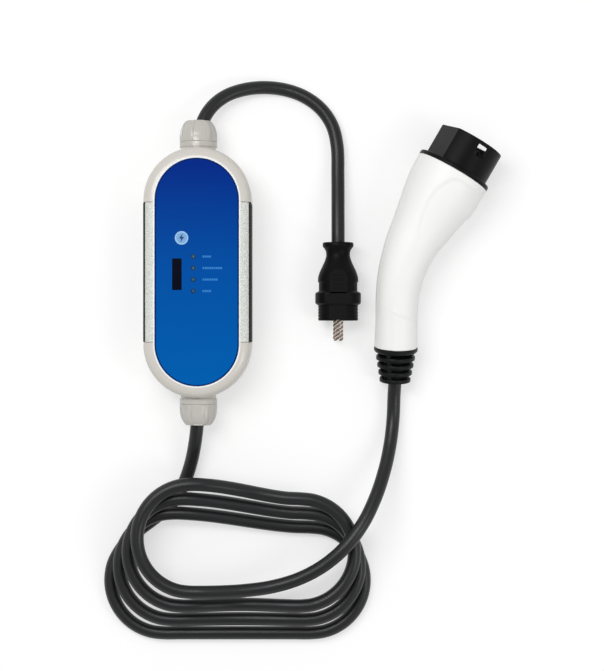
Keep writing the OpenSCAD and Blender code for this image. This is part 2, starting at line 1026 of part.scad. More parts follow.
module handle_far_shell() {
  color([0.93, 0.93, 0.92])
    at_connector()
      difference() {
        union() {
          mirror([0, 0, 1]) half_shell();
          for (f = handle_screw_s)
            translate([spine(f)[0], spine(f)[1], 1.2 - form(f, 2)])
              cylinder(h = form(f, 2) - 1.2, r = 4.4);
        }
        for (f = handle_screw_s)
          translate([spine(f)[0], spine(f)[1], 0]) {
            translate([0, 0, -handle_seat - 1])
              cylinder(h = handle_seat + 2, r = 1.7);
            translate([0, 0, -flange_d])
              cylinder(h = flange_d - handle_seat, r = 3.1);
          }
      }
}

module handle_screws() {
  color([0.6, 0.6, 0.62])
    at_connector()
      for (f = handle_screw_s)
        translate([spine(f)[0], spine(f)[1], 0]) {
          translate([0, 0, -handle_seat - handle_head_h])
            cylinder(h = handle_head_h, r = screw_head_r);
          translate([0, 0, -handle_seat - eps])
            cylinder(h = handle_screw_l, r = 1.5);
        }
}

// D-shaped plan in the head: round of radius r with a flat
module d_plan(r, flat) {
  intersection() {
    circle(r);
    translate([-2 * r, flat - 4 * r])
      square(4 * r);
  }
}

module connector_head() {
  color([0.08, 0.08, 0.09])
    at_head()
      difference() {
        union() {
          cylinder(h = flange_t - 1, d = flange_d);
          translate([0, 0, flange_t - 1])
            cylinder(h = 1, d1 = flange_d, d2 = flange_d - 2);
          linear_extrude(flange_t + shroud_l)
            d_plan(shroud_d / 2, shroud_flat);
        }
        translate([0, 0, carrier_z])
          linear_extrude(flange_t + shroud_l)
            d_plan(shroud_in, flat_in);
        translate([0, 0, -1])
          linear_extrude(carrier_z + 2)
            d_plan(shroud_in - 4, flat_in - 4);
        translate([-shroud_d / 2, 0, flange_t + shroud_l - 3.5 - lock_l / 2])
          cube([4 * shroud_t, lock_w, lock_l], center = true);
      }
}

module towers(places) {
  for (q = places)
    translate([q[0], q[1], 0])
      children();
}

module contact_carrier() {
  color([0.13, 0.13, 0.14])
    at_head()
      difference() {
        union() {
          translate([0, 0, carrier_z])
            linear_extrude(carrier_t)
              d_plan(shroud_in - 0.1, flat_in - 0.1);
          translate([0, 0, carrier_z + carrier_t - eps]) {
            towers(concat(power_at, spare_at))
              cylinder(h = tower_top - carrier_z - carrier_t, r = power_d / 2 + 2.9);
            towers(signal_at)
              cylinder(h = tower_top - carrier_z - carrier_t, r = signal_d / 2 + 2.9);
          }
        }
        towers(concat(power_at, spare_at))
          translate([0, 0, carrier_z + 3])
            cylinder(h = tower_top, r = power_d / 2 + 0.9);
        towers(signal_at)
          translate([0, 0, carrier_z + 3])
            cylinder(h = tower_top, r = signal_d / 2 + 0.9);
      }
}

module contacts(places, d) {
  at_head()
    towers(places)
      translate([0, 0, carrier_z + 3])
        difference() {
          cylinder(h = tower_top - carrier_z - 4, r = d / 2 + 0.85);
          translate([0, 0, 4])
            cylinder(h = tower_top, r = d / 2);
        }
}

module power_contacts() {
  color([0.8, 0.78, 0.7])
    contacts(power_at, power_d);
}

module signal_contacts() {
  color([0.8, 0.78, 0.7])
    contacts(signal_at, signal_d);
}

module cable_clamp() {
  color([0.2, 0.2, 0.2])
    at_connector()
      translate([0, 14, 0])
        rotate([90, 0, 0])
          difference() {
            cylinder(h = 5, r = 16.4);
            translate([0, 0, -1])
              cylinder(h = 7, r = bore_r);
          }
}

module strain_relief() {
  n = 4;
  pitch = (boot_l - boot_flange_t - 1) / n;
  color([0.1, 0.1, 0.1])
    at_boot()
      difference() {
        union() {
          cylinder(h = boot_flange_t - 1.5, d = boot_d);
          translate([0, 0, boot_flange_t - 1.5])
            cylinder(h = 1.5, d1 = boot_d, d2 = boot_d - 3);
          translate([0, 0, -8])
            cylinder(h = 8 + eps, r = 16.4);
          cylinder(h = boot_l, d1 = boot_core_d, d2 = boot_core_d - 5);
          for (i = [0 : n - 1])
            translate([0, 0, boot_flange_t + pitch * (i + 0.45)])
              cylinder(h = pitch * 0.55, d = boot_first_d + (boot_last_d - boot_first_d) * i / (n - 1));
          intersection() {
            translate([0, 0, boot_flange_t - 1])
              cylinder(h = boot_l - boot_flange_t, d1 = boot_first_d, d2 = boot_last_d - 2);
            for (a = [0, 90])
              rotate([0, 0, a + 45])
                translate([-boot_d, -boot_rib_w / 2, 0])
                  cube([2 * boot_d, boot_rib_w, boot_l]);
          }
        }
        translate([0, 0, -10])
          cylinder(h = boot_l + 12, r = bore_r);
      }
}

rear_housing();
front_housing();
housing_gasket();
front_panel();
display_window();
status_lights();
left_trim_strip();
right_trim_strip();
left_side_grip();
right_side_grip();
housing_screws();
main_board();
board_screws();
display_board();
display_module();
power_relays();
leakage_sensor();
supply_module();
control_chips();
line_fuse();
surge_absorber();
capacitor();
mains_terminals();
vehicle_terminals();
mains_cores();
vehicle_cores();
mains_gland_body();
mains_gland_seal();
mains_gland_nut();
mains_gland_locknut();
vehicle_gland_body();
vehicle_gland_seal();
vehicle_gland_nut();
vehicle_gland_locknut();
mains_cord();
plug_body();
plug_insert();
plug_pins();
plug_earth_clips();
vehicle_cord_box_end();
vehicle_coil();
vehicle_cord_connector_end();
handle_near_shell();
handle_far_shell();
handle_screws();
connector_head();
contact_carrier();
power_contacts();
signal_contacts();
cable_clamp();
strain_relief();
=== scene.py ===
# %% [markdown]
# # A portable car charger, laid out on the floor
# The part is a control box, a short mains lead with its plug, a coiled cable and a vehicle
# connector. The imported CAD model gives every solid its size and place. This lesson gives each of
# them the surface that the real one has, and leaves all of them where the CAD puts them.

# %% Load the frame
import json
import math

import bmesh
import bpy
import numpy as np
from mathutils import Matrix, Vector

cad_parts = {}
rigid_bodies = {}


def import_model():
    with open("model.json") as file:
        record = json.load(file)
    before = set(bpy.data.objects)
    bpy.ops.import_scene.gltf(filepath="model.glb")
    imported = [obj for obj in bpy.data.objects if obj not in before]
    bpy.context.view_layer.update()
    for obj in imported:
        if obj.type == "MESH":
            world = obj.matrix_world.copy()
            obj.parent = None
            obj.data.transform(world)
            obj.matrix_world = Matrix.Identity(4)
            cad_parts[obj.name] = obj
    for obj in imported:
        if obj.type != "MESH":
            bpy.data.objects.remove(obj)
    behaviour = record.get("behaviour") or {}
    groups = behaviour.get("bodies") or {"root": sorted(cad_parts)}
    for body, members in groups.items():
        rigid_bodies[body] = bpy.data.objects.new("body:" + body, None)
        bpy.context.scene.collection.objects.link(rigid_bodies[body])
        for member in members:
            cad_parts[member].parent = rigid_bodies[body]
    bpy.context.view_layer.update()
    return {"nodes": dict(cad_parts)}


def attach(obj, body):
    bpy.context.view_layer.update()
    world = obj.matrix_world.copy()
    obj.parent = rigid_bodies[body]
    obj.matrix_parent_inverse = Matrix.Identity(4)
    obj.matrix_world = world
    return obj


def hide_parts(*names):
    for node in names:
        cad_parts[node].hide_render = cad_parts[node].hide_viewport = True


MM = 0.001
for left_over in list(bpy.data.objects):
    bpy.data.objects.remove(left_over)
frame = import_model()
scene = bpy.context.scene
scene.view_settings.view_transform = "Standard"

# %% [markdown]
# ## Camera, floor and light
# The picture shows the charger from the front, with the box upright. Nothing holds it there, so
# here it lies on its back and the camera looks straight down on it. One photo pixel is 0.936 mm,
# which fixes the camera's place and lens. A long lens from high up keeps the sides from leaning.

# %% Camera
PHOTO_WIDE, PHOTO_HIGH = 604, 671
PIXEL = 0.936 * MM
ORIGIN_PIXEL = (198.3, 273.0)
CAMERA_HEIGHT, FITTED_HEIGHT = 1.8, 0.027
SENSOR = 36.0

camera = bpy.data.objects.new("camera", bpy.data.cameras.new("camera"))
camera.location = (
    (PHOTO_WIDE / 2 - ORIGIN_PIXEL[0]) * PIXEL,
    (ORIGIN_PIXEL[1] - PHOTO_HIGH / 2) * PIXEL,
    CAMERA_HEIGHT,
)
camera.data.sensor_width = SENSOR
camera.data.lens = SENSOR * (CAMERA_HEIGHT - FITTED_HEIGHT) / (PHOTO_HIGH * PIXEL)
scene.collection.objects.link(camera)
scene.camera = camera
print("lens", round(camera.data.lens, 1), "mm")

# %% [markdown]
# Every finish is a small tree of nodes. Each link could be drawn by hand, but that takes many lines,
# so four helpers do it: one fills a socket with a value or with another node's output, one fills
# several sockets by name, one adds a node and fills it, and one adds a Math node.

# %% Node helpers


def give(tree, socket, value):
    """Links a socket to another node's output, or sets it to a plain value."""
    if isinstance(value, bpy.types.NodeSocket):
        tree.links.new(value, socket)
    else:
        socket.default_value = value


def feed(tree, node, **inputs):
    """Fills a node's inputs; a blank in an input's name is written as _."""
    for name, value in inputs.items():
        give(tree, node.inputs[name.replace("_", " ")], value)
    return node


def add(tree, kind, **inputs):
    return feed(tree, tree.nodes.new(kind), **inputs)


def maths(tree, operation, *inputs):
    """The result of one Math node."""
    made = tree.nodes.new("ShaderNodeMath")
    made.operation = operation
    for socket, value in zip(made.inputs, inputs):
        give(tree, socket, value)
    return made.outputs[0]


def new_finish(name):
    finish = bpy.data.materials.new(name)
    finish.use_nodes = True
    tree = finish.node_tree
    return finish, tree, tree.nodes["Principled BSDF"]


print("node helpers for Blender", bpy.app.version_string)

# %% [markdown]
# The floor is a pale sheet. Its diffuse part catches the shadows, and a faint glow that only the
# camera, mirrors and glass see lifts it to white. More light would do that too, but it would wash
# out the charger's own colours.

# %% Floor
FLOOR_HALF, FLOOR_SINK = 6.0, 0.2 * MM
PAPER_GREY, PAPER_GLOW = 0.52, 0.5


def floor_paper():
    finish, tree, shader = new_finish("floor_paper")
    grey = (PAPER_GREY, PAPER_GREY, PAPER_GREY, 1)
    feed(tree, shader, Base_Color=grey, Roughness=0.9, Specular_IOR_Level=0.0)
    path = tree.nodes.new("ShaderNodeLightPath").outputs
    seen = maths(tree, "MAXIMUM", path["Is Camera Ray"], path["Is Glossy Ray"])
    seen = maths(tree, "MAXIMUM", seen, path["Is Transmission Ray"])
    glow = add(tree, "ShaderNodeEmission", Strength=maths(tree, "MULTIPLY", seen, PAPER_GLOW))
    both = tree.nodes.new("ShaderNodeAddShader")
    give(tree, both.inputs[0], shader.outputs[0])
    give(tree, both.inputs[1], glow.outputs[0])
    feed(tree, tree.nodes["Material Output"], Surface=both.outputs[0])
    return finish


floor_mesh = bpy.data.meshes.new("floor")
corners = ((-1, -1), (1, -1), (1, 1), (-1, 1))
corners = [(x * FLOOR_HALF, y * FLOOR_HALF, -FLOOR_SINK) for x, y in corners]
floor_mesh.from_pydata(corners, [], [(0, 1, 2, 3)])
floor_mesh.materials.append(floor_paper())
floor = bpy.data.objects.new("floor", floor_mesh)
scene.collection.objects.link(floor)
print("floor", 2 * FLOOR_HALF, "m wide")

# %% [markdown]
# The sky is darker overhead than at the horizon, so that flat glossy faces keep their colour. Two
# large lamps give soft edges, and a third, higher up, gives the cables their sheen.

# %% Sky and lamps
SKY_HORIZON, SKY_TOP = 0.92, 0.36


def sky():
    world = bpy.data.worlds.new("studio")
    world.use_nodes = True
    tree = world.node_tree
    ways = tree.nodes.new("ShaderNodeTexCoord").outputs["Generated"]
    height = add(tree, "ShaderNodeSeparateXYZ", Vector=ways).outputs["Z"]
    fade = add(tree, "ShaderNodeMapRange", Value=height, To_Min=SKY_HORIZON, To_Max=SKY_TOP)
    feed(tree, tree.nodes["Background"], Color=(1, 1, 1, 1), Strength=fade.outputs[0])
    scene.world = world


def lamp(name, place, aim, wide, long, watts):
    data = bpy.data.lights.new(name, "AREA")
    data.shape = "RECTANGLE"
    data.size, data.size_y, data.energy = wide, long, watts
    made = bpy.data.objects.new(name, data)
    made.location = place
    made.rotation_euler = (Vector(aim) - Vector(place)).to_track_quat("-Z", "Y").to_euler()
    scene.collection.objects.link(made)


sky()
lamp("key_lamp", (-0.55, 0.4, 1.35), (0.08, -0.05, 0), 0.5, 0.6, 6.5)
lamp("fill_lamp", (1.0, -0.45, 1.1), (0.12, -0.05, 0), 0.4, 0.6, 3.6)
lamp("gloss_lamp", (-0.12, 0.33, 1.5), (0.02, -0.15, 0), 0.5, 0.35, 4.5)
print("sky and", len(bpy.data.lights), "lamps")

# %% [markdown]
# ## Finishes
# Most of the charger is moulded plastic or rubber. What tells them apart is gloss, mould grain and
# a faint unevenness of colour, so one recipe with those three as values makes nearly all of them.
# All patterns but the cables' lie on Object coordinates, which keep their size in an export.

# %% Recipe for moulded finishes


def linear(red, green, blue):
    """A colour read from a screen, 0 to 255, as the linear colour that shaders want."""
    parts = [c / 255 for c in (red, green, blue)]
    return tuple(c / 12.92 if c <= 0.04045 else ((c + 0.055) / 1.055) ** 2.4 for c in parts) + (1.0,)


def shaded(colour, by):
    return tuple(min(1.0, c * by) for c in colour[:3]) + (1.0,)


def on_object(tree):
    return tree.nodes.new("ShaderNodeTexCoord").outputs["Object"]


def grained(tree, place, scale, detail=2.0):
    return add(tree, "ShaderNodeTexNoise", Vector=place, Scale=scale, Detail=detail).outputs["Fac"]


def stepped(tree, value, low, high, to_low, to_high):
    """A value between low and high as one between to_low and to_high, held at both ends."""
    ends = {"From_Min": low, "From_Max": high, "To_Min": to_low, "To_Max": to_high}
    return add(tree, "ShaderNodeMapRange", Value=value, **ends).outputs[0]


def two_tone(tree, share, first, second):
    mix = tree.nodes.new("ShaderNodeMix")
    mix.data_type = "RGBA"
    for socket, value in zip((mix.inputs[0], mix.inputs[6], mix.inputs[7]), (share, first, second)):
        give(tree, socket, value)
    return mix.outputs[2]


def bumped(tree, height, strength, depth):
    return add(tree, "ShaderNodeBump", Height=height, Strength=strength, Distance=depth * MM).outputs[0]


def moulded(name, colour, gloss, grain=900.0, depth=0.02, uneven=0.06, shine=0.5, coat=0.0):
    """Plastic or rubber: mould grain in the bump, and a broad faint change of colour and gloss."""
    finish, tree, shader = new_finish(name)
    place = on_object(tree)
    broad = grained(tree, place, 22.0)
    plain = linear(*colour)
    tone = two_tone(tree, broad, shaded(plain, 1 - uneven), shaded(plain, 1 + uneven))
    rough = stepped(tree, broad, 0.3, 0.7, gloss - 0.04, gloss + 0.04)
    bump = bumped(tree, grained(tree, place, grain, 3.0), 0.7, depth)
    feed(tree, shader, Base_Color=tone, Roughness=rough, Normal=bump, Specular_IOR_Level=shine)
    feed(tree, shader, Coat_Weight=coat, Coat_Roughness=0.12)
    return finish


print("white is", linear(255, 255, 255)[:3], "and mid grey is", round(linear(128, 128, 128)[0], 3))

# %% [markdown]
# The box is a pale satin plastic and its glands are nylon. The grips, seals, plug and strain relief
# are rubbers, from dull to satin. The handle is white, and the head and its carrier are black.

# %% Plastics and rubbers
HOUSING = moulded("pale_housing", (204, 200, 193), 0.26, grain=1400, depth=0.01, uneven=0.025)
GLAND = moulded("gland_nylon", (189, 186, 180), 0.26, grain=700, depth=0.01, uneven=0.035)
BEAD = moulded("rim_bead", (236, 237, 238), 0.25, grain=700, depth=0.004, uneven=0.01)
RUBBER = moulded("grip_rubber", (36, 38, 38), 0.62, grain=1100, depth=0.03, shine=0.18)
SEAL = moulded("seal_rubber", (28, 28, 29), 0.6, grain=800, depth=0.02, shine=0.15)
PLUG = moulded("plug_rubber", (14, 14, 15), 0.42, grain=1300, depth=0.02, uneven=0.1, shine=0.08)
BOOT = moulded("boot_rubber", (18, 19, 20), 0.42, grain=1000, depth=0.02, uneven=0.1, shine=0.15)
HANDLE = moulded("handle_white", (239, 239, 237), 0.46, grain=1500, depth=0.006, uneven=0.006, shine=0.4)
HEAD = moulded("head_black", (13, 13, 15), 0.42, grain=1200, depth=0.006, uneven=0.1, shine=0.1)
CARRIER = moulded("carrier_black", (30, 30, 33), 0.45, grain=900, depth=0.01, shine=0.2)
WINDOW = moulded("window_lens", (3, 7, 22), 0.1, grain=60, depth=0.002, uneven=0.12, shine=0.08, coat=0.04)
LENS = moulded("light_lens", (38, 92, 116), 0.2, grain=900, depth=0.01, uneven=0.12, shine=0.3, coat=0.1)
LIGHT_RIM = moulded("light_rim", (2, 50, 98), 0.3, grain=1500, depth=0.004, shine=0.15)
print(len(bpy.data.materials), "materials so far, with the floor's and the frame's")

# %% [markdown]
# The front panel is a printed film: darker blue at the mains end, lighter at the cable end, with
# the faint grain of a satin film. A thin dark line just inside its edge, next to the bead, is
# painted shade of the gap there, and the film's finish draws it by the distance from the middle.

# %% Printed film
STRAIGHT_HALF, PANEL_HALF = 66.5, 39.0
FILM_BLUES = ((0, 90, 168), (0, 76, 157), (0, 39, 129))
FILM_REACH = 100.0
# Width of the painted shade line just inside the film's edge, and of its soft inner side.
GAP_SHADE_WIDE, GAP_SHADE_FADE = 1.1, 0.6


def film():
    finish, tree, shader = new_finish("panel_film")
    place = on_object(tree)
    split = add(tree, "ShaderNodeSeparateXYZ", Vector=place).outputs
    ramp = tree.nodes.new("ShaderNodeValToRGB")
    give(tree, ramp.inputs[0], stepped(tree, split["Y"], -FILM_REACH * MM, FILM_REACH * MM, 0, 1))
    stops = ramp.color_ramp.elements
    stops.new(0.5)
    for stop, blue in zip(stops, FILM_BLUES):
        stop.color = linear(*blue)
    beyond = maths(tree, "SUBTRACT", maths(tree, "ABSOLUTE", split["Y"]), STRAIGHT_HALF * MM)
    beyond = maths(tree, "MAXIMUM", beyond, 0.0)
    squares = [maths(tree, "MULTIPLY", side, side) for side in (split["X"], beyond)]
    from_middle = maths(tree, "SQRT", maths(tree, "ADD", *squares))
    # Painted shade: the film darkens to deep navy just inside its edge, next to the bead.
    shade_from = PANEL_HALF - GAP_SHADE_WIDE
    line = stepped(tree, from_middle, (shade_from - GAP_SHADE_FADE) * MM, shade_from * MM, 0, 1)
    tone = two_tone(tree, line, ramp.outputs[0], linear(0, 34, 92))
    fine = grained(tree, place, 1800.0)
    rough = stepped(tree, fine, 0.3, 0.7, 0.34, 0.42)
    bump = bumped(tree, fine, 0.5, 0.006)
    feed(tree, shader, Base_Color=tone, Roughness=rough, Normal=bump, Specular_IOR_Level=0.015)
    return finish


FILM = film()
print("film with", len(FILM_BLUES), "blues and a dark line", GAP_SHADE_WIDE, "mm wide")

# %% [markdown]
# The trim strips are a paler plastic with a fine speckle, which is a noise with its middle stretched
# to both ends. The metals are worn by use: a noise changes their tone and gloss, drawn out across
# the earth clips, and the polished pins have slanting tarnish bands.

# %% Speckle and metals


def speckled():
    finish, tree, shader = new_finish("trim_speckle")
    fine = grained(tree, on_object(tree), 1100.0, 1.0)
    dots = stepped(tree, fine, 0.38, 0.62, 0, 1)
    tone = two_tone(tree, dots, linear(183, 188, 180), linear(225, 228, 222))
    feed(tree, shader, Base_Color=tone, Roughness=0.5, Normal=bumped(tree, fine, 0.6, 0.03))
    return finish


def worn_metal(name, colour, gloss, stretch=(1, 1, 1)):
    finish, tree, shader = new_finish(name)
    turn = add(tree, "ShaderNodeMapping", Vector=on_object(tree), Scale=stretch)
    fine = grained(tree, turn.outputs[0], 40.0, 4.0)
    plain = linear(*colour)
    tone = two_tone(tree, fine, shaded(plain, 0.82), shaded(plain, 1.08))
    rough = stepped(tree, fine, 0.3, 0.7, gloss - 0.06, gloss + 0.08)
    feed(tree, shader, Base_Color=tone, Roughness=rough, Metallic=1.0)
    return finish


def pin_metal():
    finish, tree, shader = new_finish("pin_metal")
    turn = add(tree, "ShaderNodeMapping", Vector=on_object(tree), Rotation=(0, 0, math.radians(52)))
    bands = add(tree, "ShaderNodeTexWave", Vector=turn.outputs[0], Scale=105.0, Distortion=1.2)
    share = stepped(tree, bands.outputs["Fac"], 0.25, 0.75, 0, 1)
    tone = two_tone(tree, share, linear(118, 92, 78), linear(226, 220, 212))
    rough = stepped(tree, share, 0, 1, 0.42, 0.16)
    feed(tree, shader, Base_Color=tone, Roughness=rough, Metallic=1.0)
    return finish


TRIM = speckled()
PIN = pin_metal()
CONTACT = worn_metal("contact_silver", (214, 210, 200), 0.24)
EARTH = worn_metal("earth_brass", (206, 186, 132), 0.3, stretch=(1, 12, 1))
STEEL = worn_metal("screw_steel", (168, 168, 172), 0.32)
print("speckle and metals:", *(finish.name for finish in (TRIM, PIN, CONTACT, EARTH, STEEL)))

# %% [markdown]
# ## Making a piece
# Nearly every shape below is a row of rings, each joined to the next by quads: a profile turned
# round an axis, a section swept along a line, or a flat outline raised to a height. A mesh made so
# has its doubles merged and its faces turned outwards.

# %% Shape helpers


def between_rings(rings, count, closed=False):
    """Quads that join each ring of points to the next, and the last to the first if closed."""
    faces = []
    for ring in range(rings if closed else rings - 1):
        after = (ring + 1) % rings
        for i in range(count):
            j = (i + 1) % count
            faces.append((ring * count + i, after * count + i, after * count + j, ring * count + j))
    return faces


def turned_profile(profile, segments, shape=None):
    """Points and faces of a closed profile of (radius, height); shape may change radii by angle."""
    radii, heights = np.array(profile, float).T
    points = []
    for angle in 2 * math.pi * np.arange(segments) / segments:
        out = radii if shape is None else shape(angle, radii, heights)
        points.extend(zip(out * math.cos(angle), out * math.sin(angle), heights))
    return points, between_rings(segments, len(profile), closed=True)


def prism(outline, low, high):
    """Points and faces of a flat outline, in order round its edge, raised from low to high."""
    count = len(outline)
    points = [(x, y, z) for z in (low, high) for x, y in outline]
    return points, [range(count), range(count, 2 * count), *between_rings(2, count)]


def disc_outline(x, y, radius, count):
    angles = [2 * math.pi * i / count for i in range(count)]
    return [(x + radius * math.cos(a), y + radius * math.sin(a)) for a in angles]


def bar_outline(x, y, wide, high):
    return [(x + i * wide / 2, y + j * high / 2) for i, j in ((-1, -1), (1, -1), (1, 1), (-1, 1))]


def solid_mesh(name, points, faces):
    """A closed mesh from points in millimetres, its doubles merged and its faces outwards."""
    work = bmesh.new()
    corners = [work.verts.new(Vector(p) * MM) for p in points]
    for face in faces:
        work.faces.new([corners[i] for i in face])
    bmesh.ops.remove_doubles(work, verts=work.verts, dist=1e-7)
    bmesh.ops.recalc_face_normals(work, faces=work.faces)
    mesh = bpy.data.meshes.new(name)
    work.to_mesh(mesh)
    work.free()
    return mesh


def loose_shape(name, points, faces):
    """A shape to repeat or to cut with, which isn't a piece itself."""
    return bpy.data.objects.new(name, solid_mesh(name, points, faces))


print("a cube has", len(prism(bar_outline(0, 0, 1, 1), 0, 1)[1]), "faces")

# %% [markdown]
# Every piece ends in the same few steps: edges sharper than a chosen angle kept sharp, a finish, a
# place in the frame and the CAD nodes that it stands for. Where the CAD shape is exact already, the
# piece is that node again, merged and with its edges rounded by a bevel.

# %% Piece helpers
BEVEL_STEPS = 3


def smoothed(mesh, sharp):
    mesh.polygons.foreach_set("use_smooth", [True] * len(mesh.polygons))
    mesh.set_sharp_from_angle(angle=math.radians(sharp))


def settle(name, mesh, finish, slot, stands_for=(), sharp=32):
    """Smooths a finished mesh, gives it its material and lets it ride on the part."""
    smoothed(mesh, sharp)
    mesh.materials.clear()
    mesh.materials.append(finish)
    made = bpy.data.objects.new(name, mesh)
    scene.collection.objects.link(made)
    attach(made, "root")
    if stands_for:
        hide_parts(*stands_for)
    return made


def piece(name, points, faces, finish, slot, stands_for=(), sharp=32):
    return settle(name, solid_mesh(name, points, faces), finish, slot, stands_for, sharp)


def revolved(name, profile, place, finish, slot, stands_for=(), segments=120, shape=None, sharp=32):
    points, faces = turned_profile(profile, segments, shape)
    return piece(name, [place(p) for p in points], faces, finish, slot, stands_for, sharp)


def rounded(made, width, limit, clamp):
    """Rounds the edges that turn by more than limit degrees; clamp stops them where they meet."""
    edge = made.modifiers.new("rounding", "BEVEL")
    edge.width, edge.segments = width * MM, BEVEL_STEPS
    edge.limit_method, edge.angle_limit = "ANGLE", math.radians(limit)
    edge.use_clamp_overlap = clamp
    edge.harden_normals = True


def plate(name, outline, low, high, place, finish, slot, rounding=0.0):
    points, faces = prism(outline, low, high)
    made = piece(name, [place(p) for p in points], faces, finish, slot, (), 35)
    if rounding:
        rounded(made, rounding, 40, True)
    return made


def dressed(node, finish, slot, bevel=0.0):
    """A CAD node again, its loose triangles merged and its edges rounded."""
    work = bmesh.new()
    work.from_mesh(frame["nodes"][node].data)
    bmesh.ops.remove_doubles(work, verts=work.verts, dist=2e-6)
    bmesh.ops.dissolve_limit(work, angle_limit=math.radians(0.6), verts=work.verts, edges=work.edges)
    work.verts.index_update()
    mesh = bpy.data.meshes.new(node + "_dressed")
    mesh.from_pydata([v.co[:] for v in work.verts], [], [[v.index for v in f.verts] for f in work.faces])
    work.free()
    made = settle(node + "_dressed", mesh, finish, slot, [node])
    if bevel:
        rounded(made, bevel, 38, False)
    return made


print(len(frame["nodes"]), "CAD nodes to stand for or to dress")

# %% [markdown]
# ## Cords
# Both cables are 12.5 mm thick and shown from end to end, so what the picture shows is their whole
# length. Their rubber jacket is drawn, so its fine lines run along it. A pattern on the cable's own
# UV map follows each bend, which one on Object coordinates would not.

# %% Jacket finish
CORD_R = 6.25


def jacket():
    finish, tree, shader = new_finish("cable_jacket")
    strip = tree.nodes.new("ShaderNodeTexCoord").outputs["UV"]
    along = add(tree, "ShaderNodeMapping", Vector=strip, Scale=(46, 7, 1))
    specks = add(tree, "ShaderNodeMapping", Vector=strip, Scale=(90, 2300, 1))
    lines = grained(tree, along.outputs[0], 1.0, 3.0)
    fine = grained(tree, specks.outputs[0], 1.0)
    tone = two_tone(tree, lines, linear(16, 17, 19), linear(23, 24, 26))
    rough = stepped(tree, lines, 0.3, 0.7, 0.34, 0.44)
    bump = bumped(tree, maths(tree, "ADD", lines, fine), 0.5, 0.03)
    feed(tree, shader, Base_Color=tone, Roughness=rough, Normal=bump, Specular_IOR_Level=0.42)
    return finish


JACKET = jacket()
print("jacket for a cable of", 2 * CORD_R, "mm")

# %% [markdown]
# A stiff cable bends evenly, so each is one smooth curve through its route's points, which repeat
# the CAD's. A centripetal curve goes through all of them and doesn't swing out between two that lie
# close. A tube is then swept along it, and its UV map is made with it: U round, V in metres along.

# %% Smooth routes and tubes


def part_way(a, b, start, end, k):
    """Where a straight move from a at start to b at end has come to at k."""
    return ((end - k) * a + (k - start) * b) / (end - start)


def lengths_along(line):
    return np.concatenate([[0], np.cumsum(np.linalg.norm(np.diff(line, axis=0), axis=1))])


def smooth_route(points, step=3.0):
    """Points in mm about step apart on a centripetal curve through the given ones, and its length."""
    p = [np.array(q, float) for q in points]
    p = [2 * p[0] - p[1], *p, 2 * p[-1] - p[-2]]
    fine = []
    for a, b, c, d in zip(p, p[1:], p[2:], p[3:]):
        gaps = [max(np.linalg.norm(gap), 1e-6) ** 0.5 for gap in (b - a, c - b, d - c)]
        k0, k1, k2, k3 = np.cumsum([0, *gaps])
        for k in np.linspace(k1, k2, 24, endpoint=False):
            ab, bc, cd = part_way(a, b, k0, k1, k), part_way(b, c, k1, k2, k), part_way(c, d, k2, k3, k)
            abc, bcd = part_way(ab, bc, k0, k2, k), part_way(bc, cd, k1, k3, k)
            fine.append(part_way(abc, bcd, k1, k2, k))
    fine = np.array([*fine, p[-2]])
    run = lengths_along(fine)
    places = np.linspace(0, run[-1], max(2, round(run[-1] / step)) + 1)
    line = np.stack([np.interp(places, run, fine[:, i]) for i in range(3)], 1)
    line[:, 2] = np.maximum(line[:, 2], CORD_R)
    return line, run[-1]


def cord_tube(name, line, slot, stands_for, sides=28):
    ways = np.gradient(line, axis=0)
    ways /= np.linalg.norm(ways, axis=1)[:, None]
    out = np.cross(ways[0], (0, 0, 1.0))
    points = []
    for centre, way in zip(line, ways):
        out = out - way * (out @ way)
        out /= np.linalg.norm(out)
        up = np.cross(out, way)
        for x, y in disc_outline(0, 0, CORD_R, sides):
            points.append(tuple((centre + x * out + y * up) * MM))
    rings = len(line)
    ends = [range(sides), range(rings * sides - 1, (rings - 1) * sides - 1, -1)]
    mesh = bpy.data.meshes.new(name)
    mesh.from_pydata(points, [], between_rings(rings, sides) + [tuple(end) for end in ends])
    run = lengths_along(line) * MM
    strip = mesh.uv_layers.new(name="strip")
    for face in mesh.polygons[: (rings - 1) * sides]:
        ring, side = divmod(face.index, sides)
        spots = ((side, ring), (side, ring + 1), (side + 1, ring + 1), (side + 1, ring))
        for loop, (across, row) in zip(face.loop_indices, spots):
            strip.data[loop].uv = (across / sides, run[row])
    return settle(name, mesh, JACKET, slot, stands_for, 40)


print("a straight route of 300 mm measures", round(smooth_route([(0, 0, 9), (300, 0, 9)])[1], 3))

# %% [markdown]
# The mains lead leaves the top gland, falls to the floor in an arch, and rises into the plug. It
# could be bent by hand in the viewport, but points in millimetres can be read off the picture.

# %% Mains lead
MAINS_ROUTE = [
    (0, 119.5, 24), (0, 122.5, 24), (3, 139.5, 23.4), (11.3, 155, 20.2), (24.8, 166.8, 16), (42.5, 173.6, 12),
    (62, 176, 8.3), (81.5, 174, 6.25), (99.5, 167.5, 6.25), (115, 156, 6.25), (125.5, 140.5, 6.25),
    (130.3, 121, 6.8), (131, 92, 9.5), (131, 60, 15.2), (131, 37, 18), (131, 27, 18), (131, 17, 18),
]
mains_line, mains_long = smooth_route(MAINS_ROUTE)
mains_lead = cord_tube("mains_lead", mains_line, "cable", ["mains_cord"])
print("mains lead", round(mains_long), "mm")

# %% [markdown]
# The connector lies on the floor on its own slope, so its pieces share one frame. Its spine runs
# straight through the grip, bends, and runs straight to the head. The vehicle cable ends on that
# spine, inside the handle, so the frame comes first.

